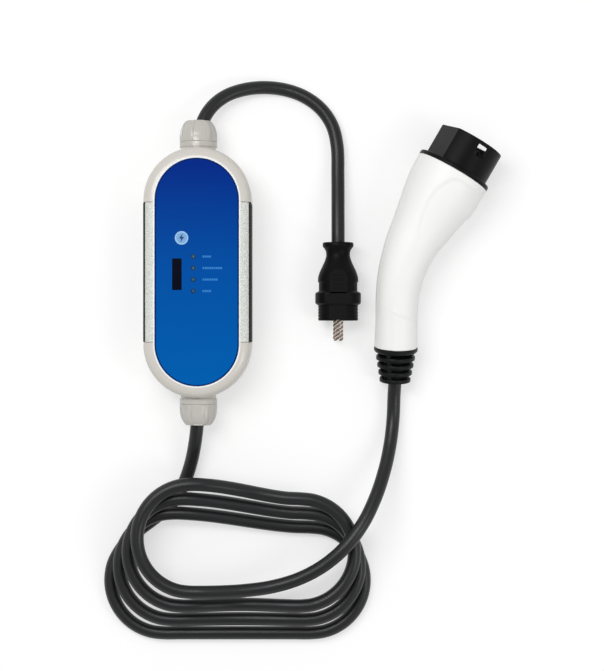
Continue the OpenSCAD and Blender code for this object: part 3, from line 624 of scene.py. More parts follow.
# %% Connector frame and spine
GRIP_LEN, NOSE_LEN, BEND_RADIUS, BEND_ANGLE = 40.0, 66.0, 130.0, math.radians(31)
FLANGE_R, SHELL_T = 35.9, 2.6
CONNECTOR_AT = np.array((185.2, -69.3, 21.0))
ROLL = math.radians(22)
HANDLE_FORM = np.array([
    (0.00, 20.2, 19.8), (0.13, 19.6, 19.6), (0.28, 20.3, 20.2), (0.46, 22.6, 22.2), (0.61, 26.0, 25.2),
    (0.72, 29.8, 28.8), (0.80, 32.6, 31.8), (0.89, 35.2, 34.8), (1.00, FLANGE_R, FLANGE_R),
])
BEND_LEN = BEND_RADIUS * BEND_ANGLE
SPINE_LEN = GRIP_LEN + BEND_LEN + NOSE_LEN


def spine(run):
    """Place and turn of the handle's spine at a length along it."""
    angle = min(max(run - GRIP_LEN, 0) / BEND_RADIUS, BEND_ANGLE)
    rest = max(run - GRIP_LEN - BEND_LEN, 0)
    x = BEND_RADIUS * (1 - math.cos(angle)) + rest * math.sin(angle)
    y = min(run, GRIP_LEN) + BEND_RADIUS * math.sin(angle) + rest * math.cos(angle)
    return x, y, angle


HEAD_AT = np.array((*spine(SPINE_LEN)[:2], 0))
CHORD = HEAD_AT / np.linalg.norm(HEAD_AT)
ACROSS = np.array((CHORD[1], -CHORD[0], 0))
TILT = math.asin((FLANGE_R - CONNECTOR_AT[2]) / np.linalg.norm(HEAD_AT))


def turned(p, axis, angle):
    along = axis * (axis @ p) * (1 - math.cos(angle))
    return p * math.cos(angle) + np.cross(axis, p) * math.sin(angle) + along


def lay(p):
    """A point of the connector (x right, y along the grip, z out of its side) as it lies."""
    return tuple(CONNECTOR_AT + turned(turned(np.array(p, float), CHORD, ROLL), ACROSS, TILT))


def form(share, column):
    """A section size: straight between the ones given, then averaged over a short run."""
    spots = np.clip(share + np.linspace(-0.035, 0.035, 15), 0, 1)
    return float(np.mean(np.interp(spots, HANDLE_FORM[:, 0], HANDLE_FORM[:, column])))


print("spine", round(SPINE_LEN, 1), "mm, tilt", round(math.degrees(TILT), 2), "degrees")

# %% [markdown]
# The vehicle cable is wound in three and a quarter turns. A turn is a stadium, a little narrower and
# a little further back than the one under it. The cable lies on the layer below at both ends, sags
# between them at the front, and climbs to the next layer along the back, as a stiff cable does.

# %% Turns of the coil
COIL_MID, COIL_STEP = (36.0, -290.0), (2.2, 14.5)
COIL_HALF, COIL_SLIM, COIL_BEND = 120.0, 7.2, 50.0
LAYER = 12.75
FRONT_SAG, BACK_SAG = 0.42, 0.2
ARC_STEPS, RUN_STEPS = 13, 8


def eased(low, high, value):
    """0 below low, 1 above high, smooth between."""
    share = np.clip((value - low) / (high - low), 0, 1)
    return share * share * (3 - 2 * share)


def coil_frame(turn):
    """Middle of a turn, and how far its end arcs sit from it."""
    x, y = (COIL_MID[i] + COIL_STEP[i] * turn for i in (0, 1))
    return x, y, COIL_HALF - COIL_SLIM * turn - COIL_BEND


def coil_turn(turn):
    """Points of one turn: left end, front, right end, and the climb along the back to the next."""
    x, y, half = coil_frame(turn)
    next_x, next_y, next_half = coil_frame(turn + 1)
    points = []
    for side, start in ((-1, 90), (1, 270)):
        for step in range(ARC_STEPS):
            angle = math.radians(start + 180 * step / ARC_STEPS)
            end_x = x + side * half + COIL_BEND * math.cos(angle)
            points.append((end_x, y + COIL_BEND * math.sin(angle), turn))
        for share in np.arange(RUN_STEPS) / RUN_STEPS:
            dip = (1 - math.cos(2 * math.pi * share)) / 2
            climb = eased(0, 1, share)
            back_x = x + half + (next_x - next_half - x - half) * share
            back_layer = turn + climb - BACK_SAG * dip * (turn + 0.5)
            front = (x - half + 2 * half * share, y - COIL_BEND, turn * (1 - FRONT_SAG * dip))
            back = (back_x, y + COIL_BEND + (next_y - y) * climb, back_layer)
            points.append(front if side < 0 else back)
    return [(px, py, CORD_R + LAYER * layer) for px, py, layer in points]


print("a turn has", len(coil_turn(0)), "points")

# %% [markdown]
# The stretch from the box joins the lowest turn, and the stretch to the connector leaves the top one
# and rises into the handle. Both are listed points, set so that they follow the picture. Both are points
# chosen by hand, so that they follow the picture.

# %% Vehicle cable
BOX_END_ROUTE = [
    (0, -119.5, 24), (0, -122.5, 24), (-1, -138.5, 22.4), (-3.5, -159, 18), (-8, -179.5, 10.5),
    (-15, -199, 6.8), (-25, -215.5, 6.25), (-40.5, -230, 6.25), (-57, -242.6, 6.25), (-71.5, -256.9, 6.25),
]
CONNECTOR_END_ROUTE = [
    (-5, -296.5, 44.6), (-1, -296.5, 44.7), (5, -296.5, 44.7), (20, -296.5, 42.8), (43, -295.6, 39.6),
    (69, -292.2, 38.4), (94, -284.6, 40.4), (117, -272, 43.6), (137, -254.6, 46), (153.5, -233, 43.6),
    (166, -208.5, 35), (175, -183, 23), (180.5, -159, 13.4), (183.2, -136.5, 8.8),
    (184.02, -114.16, 10.84), (184.62, -102.63, 14.31), (184.89, -86.95, 17.46),
]
CONNECTOR_END_ROUTE += [lay((*spine(run)[:2], 0)) for run in range(0, 85, 14)]
JOINS_AT = 5
COIL_NODES = ["vehicle_cord_box_end", "vehicle_coil", "vehicle_cord_connector_end"]
turns = [*coil_turn(0)[JOINS_AT:], *coil_turn(1), *coil_turn(2), *coil_turn(3)[:ARC_STEPS]]
vehicle_line, vehicle_long = smooth_route([*BOX_END_ROUTE, *turns, *CONNECTOR_END_ROUTE])
vehicle_cable = cord_tube("vehicle_cable", vehicle_line, "cable", COIL_NODES)
print("vehicle cable", round(vehicle_long), "mm")

# %% [markdown]
# ## Control box
# The box is two moulded halves with a stadium plan. The front half is a rounded rim, so its section
# is swept round the stadium, point by point. Along the straight sides the section steps in, which
# leaves the seat of the trim strips and the side grips.

# %% Front housing
BOX_HALF, BOX_TOP, BOX_SPLIT = 50.0, 54.0, 41.0
RIM_R, RIM_INSIDE = 10.0, 44.4
SEAT_HALF = 64.95
TRIM_DEEP, GRIP_DEEP = 1.7, 2.8
PANEL_SEAT, LEDGE_HALF, LEDGE_UNDER = 52.8, 36.0, 49.8


def rim_section(seat):
    """Closed section of the front housing, out from the box's middle; seat steps it in."""
    rim_x, rim_z = BOX_HALF - RIM_R, BOX_TOP - RIM_R
    wall = BOX_HALF - (GRIP_DEEP if seat else 0)
    radius = RIM_R - (TRIM_DEEP if seat else 0)
    points = [(RIM_INSIDE, BOX_SPLIT), (wall - 0.4, BOX_SPLIT)]
    points += [(wall - 0.1, BOX_SPLIT + 0.1), (wall, BOX_SPLIT + 0.4)]
    for step in range(25):
        angle = math.radians(90 * step / 24)
        x = min(rim_x + radius * math.cos(angle), wall)
        points.append((x, rim_z + (radius if x > rim_x + 0.25 else RIM_R) * math.sin(angle)))
    points += [(PANEL_HALF + 0.4, BOX_TOP), (PANEL_HALF + 0.15, BOX_TOP - 0.08)]
    points += [(PANEL_HALF + 0.05, BOX_TOP - 0.3), (PANEL_HALF, PANEL_SEAT), (LEDGE_HALF, PANEL_SEAT)]
    return points + [(LEDGE_HALF, LEDGE_UNDER), (RIM_INSIDE, LEDGE_UNDER)]


def round_the_box():
    """Stations round the stadium: a place on the middle line, the way out, and if it is a seat."""
    stops = ((-STRAIGHT_HALF, 0), (-SEAT_HALF, 0), (-SEAT_HALF, 1), (SEAT_HALF, 1), (SEAT_HALF, 0))
    stations = []
    for side in (1, -1):
        stations += [(y * side, side, 0, seat) for y, seat in stops]
        for step in range(49):
            angle = math.radians(180 * step / 49) + (0 if side > 0 else math.pi)
            stations.append((STRAIGHT_HALF * side, math.cos(angle), math.sin(angle), 0))
    return stations


stations = round_the_box()
rim_points = [(x * r, y + up * r, z) for y, x, up, seat in stations for r, z in rim_section(seat)]
rim_faces = between_rings(len(stations), len(rim_section(0)), closed=True)
front_rim = piece("front_rim", rim_points, rim_faces, HOUSING, "housing", ["front_housing"], 30)
print("front rim", len(front_rim.data.polygons), "faces")

# %% [markdown]
# The rear half, the panel, the window, the lights, the strips and the grips have simple forms that
# the CAD gives exactly. Building them again would add nothing, so they are dressed CAD nodes.

# %% Panel, window, strips and grips
dressed("rear_housing", HOUSING, "housing")
dressed("front_panel", FILM, "panel")
dressed("display_window", WINDOW, "window", bevel=0.2)
dressed("status_lights", LENS, "light_lens")
for side in ("left", "right"):
    dressed(side + "_trim_strip", TRIM, "trim", bevel=0.3)
    dressed(side + "_side_grip", RUBBER, "grip_rubber", bevel=0.35)
print("box dressed with", FILM.name, WINDOW.name, LENS.name, TRIM.name, RUBBER.name)

# %% [markdown]
# What follows an edge or repeats is made with Geometry Nodes. The first tree sweeps a small bead
# round the panel's edge, a stadium made from a rectangle with filleted corners. The second sets one
# shape again and again along a line: ribs of a side grip, rings round the lights or printed marks.

# %% Node trees


def new_tree(name, inputs):
    """A tree with a geometry output, the given (name, socket type, value) inputs and a finish."""
    tree = bpy.data.node_groups.new(name, "GeometryNodeTree")
    tree.interface.new_socket("Geometry", in_out="OUTPUT", socket_type="NodeSocketGeometry")
    for label, kind, value in inputs:
        socket = tree.interface.new_socket(label, in_out="INPUT", socket_type="NodeSocket" + kind)
        if value is not None:
            socket.default_value = value
    tree.interface.new_socket("Finish", in_out="INPUT", socket_type="NodeSocketMaterial")
    return tree, tree.nodes.new("NodeGroupInput").outputs


def ended(tree, geometry, wanted):
    """Realizes what the tree made, gives it the finish and joins it to the output."""
    real = add(tree, "GeometryNodeRealizeInstances", Geometry=geometry).outputs[0]
    paint = add(tree, "GeometryNodeSetMaterial", Geometry=real, Material=wanted["Finish"])
    add(tree, "NodeGroupOutput", Geometry=paint.outputs[0])
    return tree


def bead_tree():
    sizes = {"Wide": 0.08, "Long": 0.2, "Height": 0.05, "Thick": 0.0006}
    tree, wanted = new_tree("bead_round_edge", [(name, "Float", size) for name, size in sizes.items()])
    box = add(tree, "GeometryNodeCurvePrimitiveQuadrilateral", Width=wanted["Wide"], Height=wanted["Long"])
    bend = add(tree, "GeometryNodeFilletCurve", Curve=box.outputs[0])
    bend.mode = "POLY"
    feed(tree, bend, Count=28, Radius=maths(tree, "MULTIPLY", wanted["Wide"], 0.4999))
    lift = add(tree, "ShaderNodeCombineXYZ", Z=wanted["Height"]).outputs[0]
    seat = add(tree, "GeometryNodeSetPosition", Geometry=bend.outputs[0], Offset=lift).outputs[0]
    ring = add(tree, "GeometryNodeCurvePrimitiveCircle", Radius=wanted["Thick"], Resolution=14).outputs[0]
    bead = add(tree, "GeometryNodeCurveToMesh", Curve=seat, Profile_Curve=ring)
    return ended(tree, bead.outputs[0], wanted)


def row_tree():
    inputs = [("Shape", "Object", None), ("Count", "Int", 4)]
    inputs += [("Start", "Vector", (0, 0, 0)), ("Step", "Vector", (0, 0.01, 0))]
    tree, wanted = new_tree("row_of_shapes", inputs)
    line = add(tree, "GeometryNodeMeshLine", Count=wanted["Count"])
    line.mode = "OFFSET"
    feed(tree, line, Start_Location=wanted["Start"], Offset=wanted["Step"])
    shape = add(tree, "GeometryNodeObjectInfo", Object=wanted["Shape"], As_Instance=True)
    instance = shape.outputs["Geometry"]
    row = add(tree, "GeometryNodeInstanceOnPoints", Points=line.outputs[0], Instance=instance)
    return ended(tree, row.outputs[0], wanted)


BEAD_TREE, ROW_TREE = bead_tree(), row_tree()
print("trees", BEAD_TREE.name, "and", ROW_TREE.name)

# %% [markdown]
# A tree runs as a modifier on an object with an empty mesh, and the result is kept as a plain mesh,
# because an exported model has no modifiers. Inputs are set by each socket's identifier before that.

# %% Run a tree


def plain_mesh(holder):
    """What an object's modifiers make of it, as a plain mesh."""
    bpy.context.view_layer.update()
    graph = bpy.context.evaluated_depsgraph_get()
    return bpy.data.meshes.new_from_object(holder.evaluated_get(graph))


def made_by(tree, name, slot, sharp=40, **values):
    host = bpy.data.objects.new(name + "_host", bpy.data.meshes.new(name + "_host"))
    scene.collection.objects.link(host)
    nodes = host.modifiers.new("nodes", "NODES")
    nodes.node_group = tree
    for item in tree.interface.items_tree:
        if item.in_out == "INPUT" and item.name in values:
            nodes[item.identifier] = values[item.name]
    mesh = plain_mesh(host)
    mesh.name = name
    bpy.data.objects.remove(host)
    return settle(name, mesh, values["Finish"], slot, (), sharp)


BEAD_HALF, BEAD_THICK, BEAD_SUNK = 39.7, 0.8, 0.4
bead_sizes = {"Wide": 2 * BEAD_HALF, "Long": 2 * (BEAD_HALF + STRAIGHT_HALF)}
bead_sizes.update({"Height": BOX_TOP - BEAD_SUNK, "Thick": BEAD_THICK})
bead_sizes = {name: size * MM for name, size in bead_sizes.items()}
bead = made_by(BEAD_TREE, "panel_bead", "housing", Finish=BEAD, **bead_sizes)
print("bead", len(bead.data.polygons), "faces")

# %% [markdown]
# The side grips have fine upright ribs, so that a hand holds them, and each light sits in a thin
# ring. Both are one small shape that the row tree repeats. A rib's back is sunk in the grip.

# %% Grip ribs and light rings
RIB_HIGH, RIB_WIDE, RIB_PROUD, RIB_SUNK = 28.0, 1.8, 0.55, 0.2
RIB_PITCH, RIB_COUNT, RIB_MID = 5.0, 25, 26.0
RIB_ENDS = ((0.0, 0.3), (0.5, 0.8), (1.0, 1.0))
LIGHT_X, LIGHT_FIRST, LIGHT_PITCH, LIGHT_COUNT = -3.2, -17.5, 10.6, 4
RING_IN, RING_OUT, RING_SLOPE, RING_HIGH = 1.55, 2.35, 0.1, 0.22
PANEL_TOP = 53.6


def rib_shape(out):
    """A rounded rib along Z that stands out to one side along X."""
    arc = [math.radians(a) for a in range(-90, 91, 18)]
    levels = [(-RIB_HIGH / 2 + z, k) for z, k in RIB_ENDS]
    levels += [(-z, k) for z, k in reversed(levels)]
    points = []
    for z, k in levels:
        wide = RIB_WIDE / 2 * (0.4 + 0.6 * k)
        points += [(out * (RIB_PROUD * k * math.cos(a) - RIB_SUNK), wide * math.sin(a), z) for a in arc]
    ends = [range(len(arc)), range(len(points) - len(arc), len(points))]
    return loose_shape("rib_shape", points, between_rings(len(levels), len(arc)) + ends)


def row_of(shape, name, slot, finish, count, start, step, sharp=30):
    start, step = (tuple(c * MM for c in place) for place in (start, step))
    values = {"Shape": shape, "Count": count, "Start": start, "Step": step, "Finish": finish}
    return made_by(ROW_TREE, name, slot, sharp, **values)


for side, out in (("left", -1), ("right", 1)):
    start = (out * BOX_HALF, -RIB_PITCH * (RIB_COUNT - 1) / 2, RIB_MID)
    row_of(rib_shape(out), side + "_grip_ribs", "grip_rubber", RUBBER, RIB_COUNT, start, (0, RIB_PITCH, 0))
ring = [(RING_IN, 0), (RING_OUT, 0), (RING_OUT - RING_SLOPE, RING_HIGH), (RING_IN + RING_SLOPE, RING_HIGH)]
ring_shape = loose_shape("ring_shape", *turned_profile(ring, 40))
start = (LIGHT_X, LIGHT_FIRST, PANEL_TOP)
row_of(ring_shape, "light_rings", "light_lens", LIGHT_RIM, LIGHT_COUNT, start, (0, LIGHT_PITCH, 0))
print(2 * RIB_COUNT, "grip ribs and", LIGHT_COUNT, "light rings")

# %% [markdown]
# The panel's print is plain: a ring with a bolt, and a row of small marks beside each light. Each is
# a plate four hundredths of a millimetre thick, so it catches light as ink on a film does.

# %% Panel print
INK_HIGH = 0.04
ICON_X, ICON_Y, ICON_R, ICON_EDGE, ICON_SIDES = -14.0, 31.5, 6.2, 1.2, 56
BOLT = [(1.1, 4.2), (-2.4, -0.6), (-0.3, -0.6), (-1.2, -4.2), (2.4, 0.8), (0.35, 0.8)]
MARK_X, MARK_PITCH, MARK_WIDE, MARK_HIGH = 6.2, 2.05, 1.56, 1.9
MARKS = (4, 7, 9, 4)


def ink(name, colour, uneven=0.06, shine=0.25):
    return moulded(name, colour, 0.5, grain=2500, depth=0.004, uneven=uneven, shine=shine)


def on_panel(p):
    return (p[0], p[1], PANEL_TOP + p[2])


disc, field = (disc_outline(ICON_X, ICON_Y, r, ICON_SIDES) for r in (ICON_R, ICON_R - ICON_EDGE))
bolt = [(ICON_X + x, ICON_Y + y) for x, y in BOLT]
icon_layers = (
    ("icon_disc", disc, ink("pale_print", (150, 190, 226))),
    ("icon_field", field, ink("mid_print", (112, 162, 208))),
    ("icon_bolt", bolt, ink("dark_print", (16, 44, 104), uneven=0.08)),
)
for layer, (name, outline, finish) in enumerate(icon_layers):
    plate(name, outline, layer * INK_HIGH, (layer + 1) * INK_HIGH, on_panel, finish, "panel")
mark_ink = ink("mark_print", (36, 122, 194), shine=0.2)
for row, count in enumerate(MARKS):
    bar = bar_outline(MARK_X, LIGHT_FIRST + LIGHT_PITCH * row, MARK_WIDE, MARK_HIGH)
    mark = loose_shape("mark_shape", *prism(bar, 0, INK_HIGH))
    start, step = (0, 0, PANEL_TOP), (MARK_PITCH, 0, 0)
    row_of(mark, "marks_%d" % (row + 1), "panel", mark_ink, count, start, step, 40)
print("icon and", sum(MARKS), "marks")

# %% [markdown]
# ## Cable glands
# A gland is a flange on the box and a domed nut with six ribs. The nut is a revolve whose radius
# falls between the ribs, with soft shoulders as moulded nylon has. A rubber lip closes its mouth.

# %% Glands
BOX_END, GLAND_Z = STRAIGHT_HALF + BOX_HALF, 24.0
NUT_FROM, NUT_L, NUT_R, NOSE_R = 6.0, 20.0, 17.5, 11.7
NUT_THREAD, NUT_MOUTH, NUT_BORE, DOME_FROM, DOME_RISE = 13.0, 10.5, 9.6, 0.26, 0.72
NUT_RIB_H, NUT_RIB_W = 1.5, 3.6
LIP = [(6.3, 22.6), (7.4, 24.8), (8.3, 25.2), (9.2, 24.8), (10.1, 23.6), (9.9, 20.4), (6.3, 20.0)]


def at_gland(end):
    def place(p):
        return (p[0], end * (BOX_END + p[2]), GLAND_Z - end * p[1])

    return place


def nut_profile():
    points = [(NUT_THREAD, 0.0), (NUT_R - 0.8, 0.0), (NUT_R - 0.25, 0.25), (NUT_R, 0.9)]
    points.append((NUT_R, DOME_FROM * NUT_L))
    for step in range(1, 19):
        angle = math.radians(90 * step / 18)
        radius = NOSE_R + (NUT_R - NOSE_R) * math.cos(angle) ** 1.6
        points.append((radius, NUT_L * (DOME_FROM + DOME_RISE * math.sin(angle))))
    points += [(NOSE_R - 0.4, NUT_L - 0.1), (NOSE_R - 0.8, NUT_L)]
    points += [(NUT_MOUTH, NUT_L), (NUT_MOUTH - 0.3, NUT_L - 0.3), (NUT_MOUTH - 0.5, 0.72 * NUT_L)]
    points += [(NUT_BORE, 0.5 * NUT_L), (NUT_BORE, 0.42 * NUT_L), (NUT_THREAD, 0.4 * NUT_L)]
    return [(r, z + NUT_FROM) for r, z in points]


def ribbed(turn):
    """Radius lowered between six ribs, fading out at the nut's foot and nose."""

    def shape(angle, radius, height):
        near = (angle - math.radians(turn) + math.pi / 6) % (math.pi / 3) - math.pi / 6
        side = np.abs(radius * math.sin(near))
        between = eased(NUT_RIB_W / 2 - 0.1, NUT_RIB_W / 2 + 0.45, side)
        foot = eased(NUT_FROM + 0.8, NUT_FROM + 2.2, height)
        nose = eased(NOSE_R - 0.2, NOSE_R + 1.2, radius)
        return radius - NUT_RIB_H * between * foot * nose

    return shape


for name, end, turn in (("mains", 1, 8), ("vehicle", -1, 0)):
    place = at_gland(end)
    nut = name + "_gland_nut"
    revolved(nut + "_moulded", nut_profile(), place, GLAND, "gland", [nut], 180, ribbed(turn), 40)
    revolved(name + "_gland_lip", LIP, place, SEAL, "seal_rubber", (), 64)
    dressed(name + "_gland_body", GLAND, "gland", bevel=0.35)
print("two glands, each", NUT_FROM + NUT_L, "mm long")

# %% [markdown]
# ## Mains plug
# The plug's body is one rubber moulding: a collar round the lead, a neck, a barrel with a grip ring
# and fine ribs near its face. It is a revolve whose sides are cut flat where the thumb pads sit. The
# slots of the earth clips and the notches in the face are then taken away with booleans.

# %% Plug body
PLUG_AT = (131.0, 29.0, 18.0)
PLUG_L, PLUG_FLAT, RING_FLAT, PAD_TOP = 73.5, 17.1, 17.5, 18.0
COLLAR_R, NECK_R, FACE_R, GRIP_R, INSERT_R = 14.5, 11.0, 19.0, 21.5, 16.7
BORE_R = CORD_R + 0.1
INSERT_AT = 70.4
FINE_RIB = 0.22


def at_plug(p):
    return (PLUG_AT[0] + p[0], PLUG_AT[1] - p[2], PLUG_AT[2] + p[1])


def plug_profile():
    points = [(BORE_R, 0), (COLLAR_R - 1, 0), (COLLAR_R - 0.3, 0.3), (COLLAR_R, 1), (COLLAR_R, 3.4)]
    points += [(COLLAR_R - 0.3, 4.2), (COLLAR_R - 1.2, 5.2), (NECK_R + 1.1, 7.0), (NECK_R + 0.3, 9.0)]
    for share in np.arange(1, 13) / 12:
        points.append((NECK_R + (FACE_R - NECK_R) * eased(0, 1, share), 10.3 + 25 * share))
    points += [(FACE_R, 36.4), (FACE_R - 0.25, 37.2), (FACE_R - 0.9, 38), (FACE_R - 0.9, 45.4)]
    points += [(FACE_R - 0.4, 46.2), (GRIP_R - 1.2, 46.9), (GRIP_R - 0.3, 47.6), (GRIP_R, 48.6)]
    points += [(GRIP_R, 56.4), (GRIP_R - 0.3, 57.4), (GRIP_R - 1.2, 58.2), (FACE_R - 0.3, 59.2)]
    for step in range(33):
        points.append((FACE_R - FINE_RIB * (1 - math.cos(math.pi * step / 4)), 60.2 + 11.6 * step / 32))
    points += [(FACE_R - 0.2, 73.0), (FACE_R - 0.9, PLUG_L), (INSERT_R, PLUG_L)]
    return points + [(INSERT_R, INSERT_AT), (BORE_R, INSERT_AT)]


def flattened(angle, radius, height):
    on_ring = (height > 46.5) & (height < 58.5)
    limit = np.where(on_ring, RING_FLAT, PLUG_FLAT)
    return np.minimum(radius, limit / max(abs(math.sin(angle)), 1e-6))


def cutter(outline, low, high, place):
    points, faces = prism(outline, low, high)
    return loose_shape("cutter", [place(p) for p in points], faces)


def cut(made, cutters, sharp):
    """Takes the cutters away from a piece and keeps the result as its plain mesh."""
    for tool in cutters:
        scene.collection.objects.link(tool)
        taken = made.modifiers.new("cut", "BOOLEAN")
        taken.object, taken.operation, taken.solver = tool, "DIFFERENCE", "EXACT"
    mesh = plain_mesh(made)
    made.modifiers.clear()
    made.data = mesh
    smoothed(mesh, sharp)
    for tool in cutters:
        bpy.data.objects.remove(tool)


plug_shell = revolved(
    "plug_shell", plug_profile(), at_plug, PLUG, "plug_rubber", ["plug_body"], 168, flattened, 28
)
slots = [cutter(bar_outline(e * FACE_R, 0, 3.4, 5.4), PLUG_L - 15, PLUG_L + 1, at_plug) for e in (1, -1)]
notches = [cutter(bar_outline(0, e * PAD_TOP, 4, 6), PLUG_L - 1.5, PLUG_L + 1.5, at_plug) for e in (1, -1)]
cut(plug_shell, slots + notches, 28)
print("plug shell", len(plug_shell.data.polygons), "faces")

# %% [markdown]
# On both flats sits a raised pad for the thumb, rounded towards the lead, with four ridges across
# it. They are plates with bevelled edges. The insert, pins and earth clips are dressed CAD nodes.

# %% Thumb pads, insert, pins and clips
PAD_HALF, PAD_FROM, PAD_END = 8.35, 33.8, 48.6
RIDGE_LONG, RIDGE_WIDE, RIDGE_FIRST, RIDGE_PITCH, RIDGE_COUNT = 11.2, 1.6, 31.0, 4.2, 4


def pad_outline():
    arch = [math.radians(180 + 180 * i / 20) for i in range(21)]
    points = [(PAD_HALF * math.cos(a), PAD_FROM + PAD_HALF * math.sin(a)) for a in arch]
    return points + [(PAD_HALF, PAD_END), (-PAD_HALF, PAD_END)]


def on_flat(side):
    def place(p):
        return at_plug((p[0] * side, side * p[2], p[1]))

    return place


for side, name in ((1, "upper"), (-1, "lower")):
    raised = [(name + "_thumb_pad", pad_outline(), PLUG_FLAT - 0.6, PAD_TOP - 0.5, 0.45)]
    for step in range(RIDGE_COUNT):
        bar = bar_outline(0, RIDGE_FIRST + RIDGE_PITCH * step, RIDGE_LONG, RIDGE_WIDE)
        raised.append(("%s_pad_ridge_%d" % (name, step + 1), bar, PAD_TOP - 0.9, PAD_TOP, 0.35))
    for label, outline, low, high, rounding in raised:
        plate(label, outline, low, high, on_flat(side), PLUG, "plug_rubber", rounding)
dressed("plug_insert", CARRIER, "plug_rubber", bevel=0.3)
dressed("plug_pins", PIN, "contact_metal")
dressed("plug_earth_clips", EARTH, "earth_metal", bevel=0.15)

# %% [markdown]
# ## Vehicle connector
# The handle is two white half shells. Their outside is a loft along the connector's spine. It uses
# the CAD's sections with a smooth curve between them, and small moulded features are added as
# heights on its surface: the finger stop on the belly, the sculpted side and the crease on the grip.
# Sculpting could do that too, but heights from a formula can be changed by a number.

# %% Heights of the moulded features
CONTOUR = np.array([
    (0.58, -8), (0.66, -13.5), (0.72, -16.8), (0.80, -19.4),
    (0.86, -19), (0.91, -16), (0.945, -11.5), (0.97, -6),
])
SEAM_DEEP, SEAM_HALF = 0.32, 0.75
STOP_HIGH, SIDE_DEEP = 1.5, 1.4
CREASE_AT, CREASE_SLOPE, CREASE_WIDE, CREASE_HIGH, CREASE_STEP = 32.3, 0.51, 0.9, 1.3, 0.6
CREST_AT, CREST_HALF, CREST_HIGH = -9.5, 3.0, 0.5
EDGE_R = 1.2


def within(value, low, full, fading, gone):
    """0 below low, 1 from full to fading, 0 again above gone, smooth between."""
    return eased(low, full, value) * (1 - eased(fading, gone, value))


def relief(run, angle, half_wide, half_thick):
    """Height over the plain loft at a length along it, for angles from the belly (0) to the back (pi)."""
    share = run / SPINE_LEN
    across = half_wide * np.cos(angle)
    seam = 1 - eased(0, SEAM_HALF, np.abs(half_thick * np.sin(angle)))
    stop = np.clip(np.cos(angle), 0, 1) ** 1.5 * within(share, 0.808, 0.832, 0.84, 0.975)
    line = np.interp(share, CONTOUR[:, 0], CONTOUR[:, 1])
    side = eased(-0.3, 1.6, across - line) * (1 - eased(0.35, 0.92, np.cos(angle)))
    side = side * within(share, 0.52, 0.70, 0.945, 0.972)
    off = (run - (CREASE_AT - CREASE_SLOPE * across)) / CREASE_WIDE
    crease = CREASE_HIGH * np.exp(-off * off) + CREASE_STEP * (1 - eased(-1.5, 0.3, off))
    crease = crease * within(across, -13, -8, 13.5, 17.0)
    crest = np.exp(-(((across - CREST_AT) / CREST_HALF) ** 2)) * within(share, 0.12, 0.22, 0.5, 0.66)
    near_end = max(EDGE_R - min(run, SPINE_LEN - run), 0)
    rounding = EDGE_R - math.sqrt(max(EDGE_R * EDGE_R - near_end * near_end, 0))
    raised = STOP_HIGH * stop + crease + CREST_HIGH * crest
    return raised - SEAM_DEEP * seam - SIDE_DEEP * side - rounding


print("the sculpted side is", round(np.ptp(CONTOUR[:, 0]) * SPINE_LEN), "mm long")

# %% [markdown]
# A shell is one closed ring of points at each length along the spine: out along the outside with its
# heights, and back along the inside, a wall's thickness in. Rings lie closer together at both ends,
# and points at the seam, because the edges are rounded there.

# %% Handle shells
ENDS = np.array([0.0, 0.08, 0.25, 0.5, 0.85, EDGE_R])
RUNS = np.concatenate([ENDS, np.linspace(2, SPINE_LEN - 2, 190), SPINE_LEN - ENDS[::-1]])
NEAR_SEAM = np.array([0.0, 0.006, 0.012, 0.02, 0.03])
ANGLES = np.concatenate([NEAR_SEAM, np.linspace(0.05, math.pi - 0.05, 66), math.pi - NEAR_SEAM[::-1]])
OUT_AND_BACK = np.concatenate([ANGLES, ANGLES[::-1]])


def half_shell(name, side, stands_for):
    half, count = len(ANGLES), len(OUT_AND_BACK)
    points = []
    for run in RUNS:
        x, y, bend = spine(run)
        wide, thick = (form(run / SPINE_LEN, column) for column in (1, 2))
        grow = np.concatenate([relief(run, ANGLES, wide, thick), np.full(half, -SHELL_T)])
        outs = (wide + grow) * np.cos(OUT_AND_BACK)
        ups = (thick + grow) * np.sin(OUT_AND_BACK) * side
        for out, up in zip(outs, ups):
            points.append(lay((x + out * math.cos(bend), y - out * math.sin(bend), up)))
    faces = between_rings(len(RUNS), count)
    for first in (0, (len(RUNS) - 1) * count):
        for i in range(half - 1):
            faces.append([first + k for k in (i, i + 1, count - 2 - i, count - 1 - i)])
    return piece(name, points, faces, HANDLE, "handle_white", stands_for, 40)


near_shell = half_shell("near_shell", 1, ["handle_near_shell"])
far_shell = half_shell("far_shell", -1, ["handle_far_shell"])
print("handle shells", len(near_shell.data.polygons) + len(far_shell.data.polygons), "faces")

# %% [markdown]
# Three screws hold the shells together from the far side. Each sits in a well, so the wells are cut
# through the far shell and lined with a short tube.

# %% Screw wells
SCREW_SHARES = (0.2, 0.52, 0.8)
SCREW_SEAT, WELL_R, WELL_WALL, WELL_SIDES = 6.0, 3.1, 1.3, 32
PAST_SHELL = 60.0


def well_frame(share):
    x, y = spine(share * SPINE_LEN)[:2]

    def place(p):
        return lay((x + p[0], y + p[1], -p[2]))

    return place


well = disc_outline(0, 0, WELL_R, WELL_SIDES)
cut(far_shell, [cutter(well, SCREW_SEAT, PAST_SHELL, well_frame(share)) for share in SCREW_SHARES], 40)
for number, share in enumerate(SCREW_SHARES, 1):
    deep = form(share, 2) - 1.0
    outside = WELL_R + WELL_WALL
    tube = [(WELL_R, SCREW_SEAT), (outside, SCREW_SEAT), (outside, deep), (WELL_R, deep)]
    revolved("screw_well_%d" % number, tube, well_frame(share), HANDLE, "handle_white", (), 40)
dressed("handle_screws", STEEL, "screw_steel", bevel=0.2)
print(len(SCREW_SHARES), "screw wells")

# %% [markdown]
# The head is black with a satin gloss: a round flange, a D-shaped shroud with a square lock hole, and
# the contact carrier inside. Its CAD shape is exact, so it only gets rounded edges.

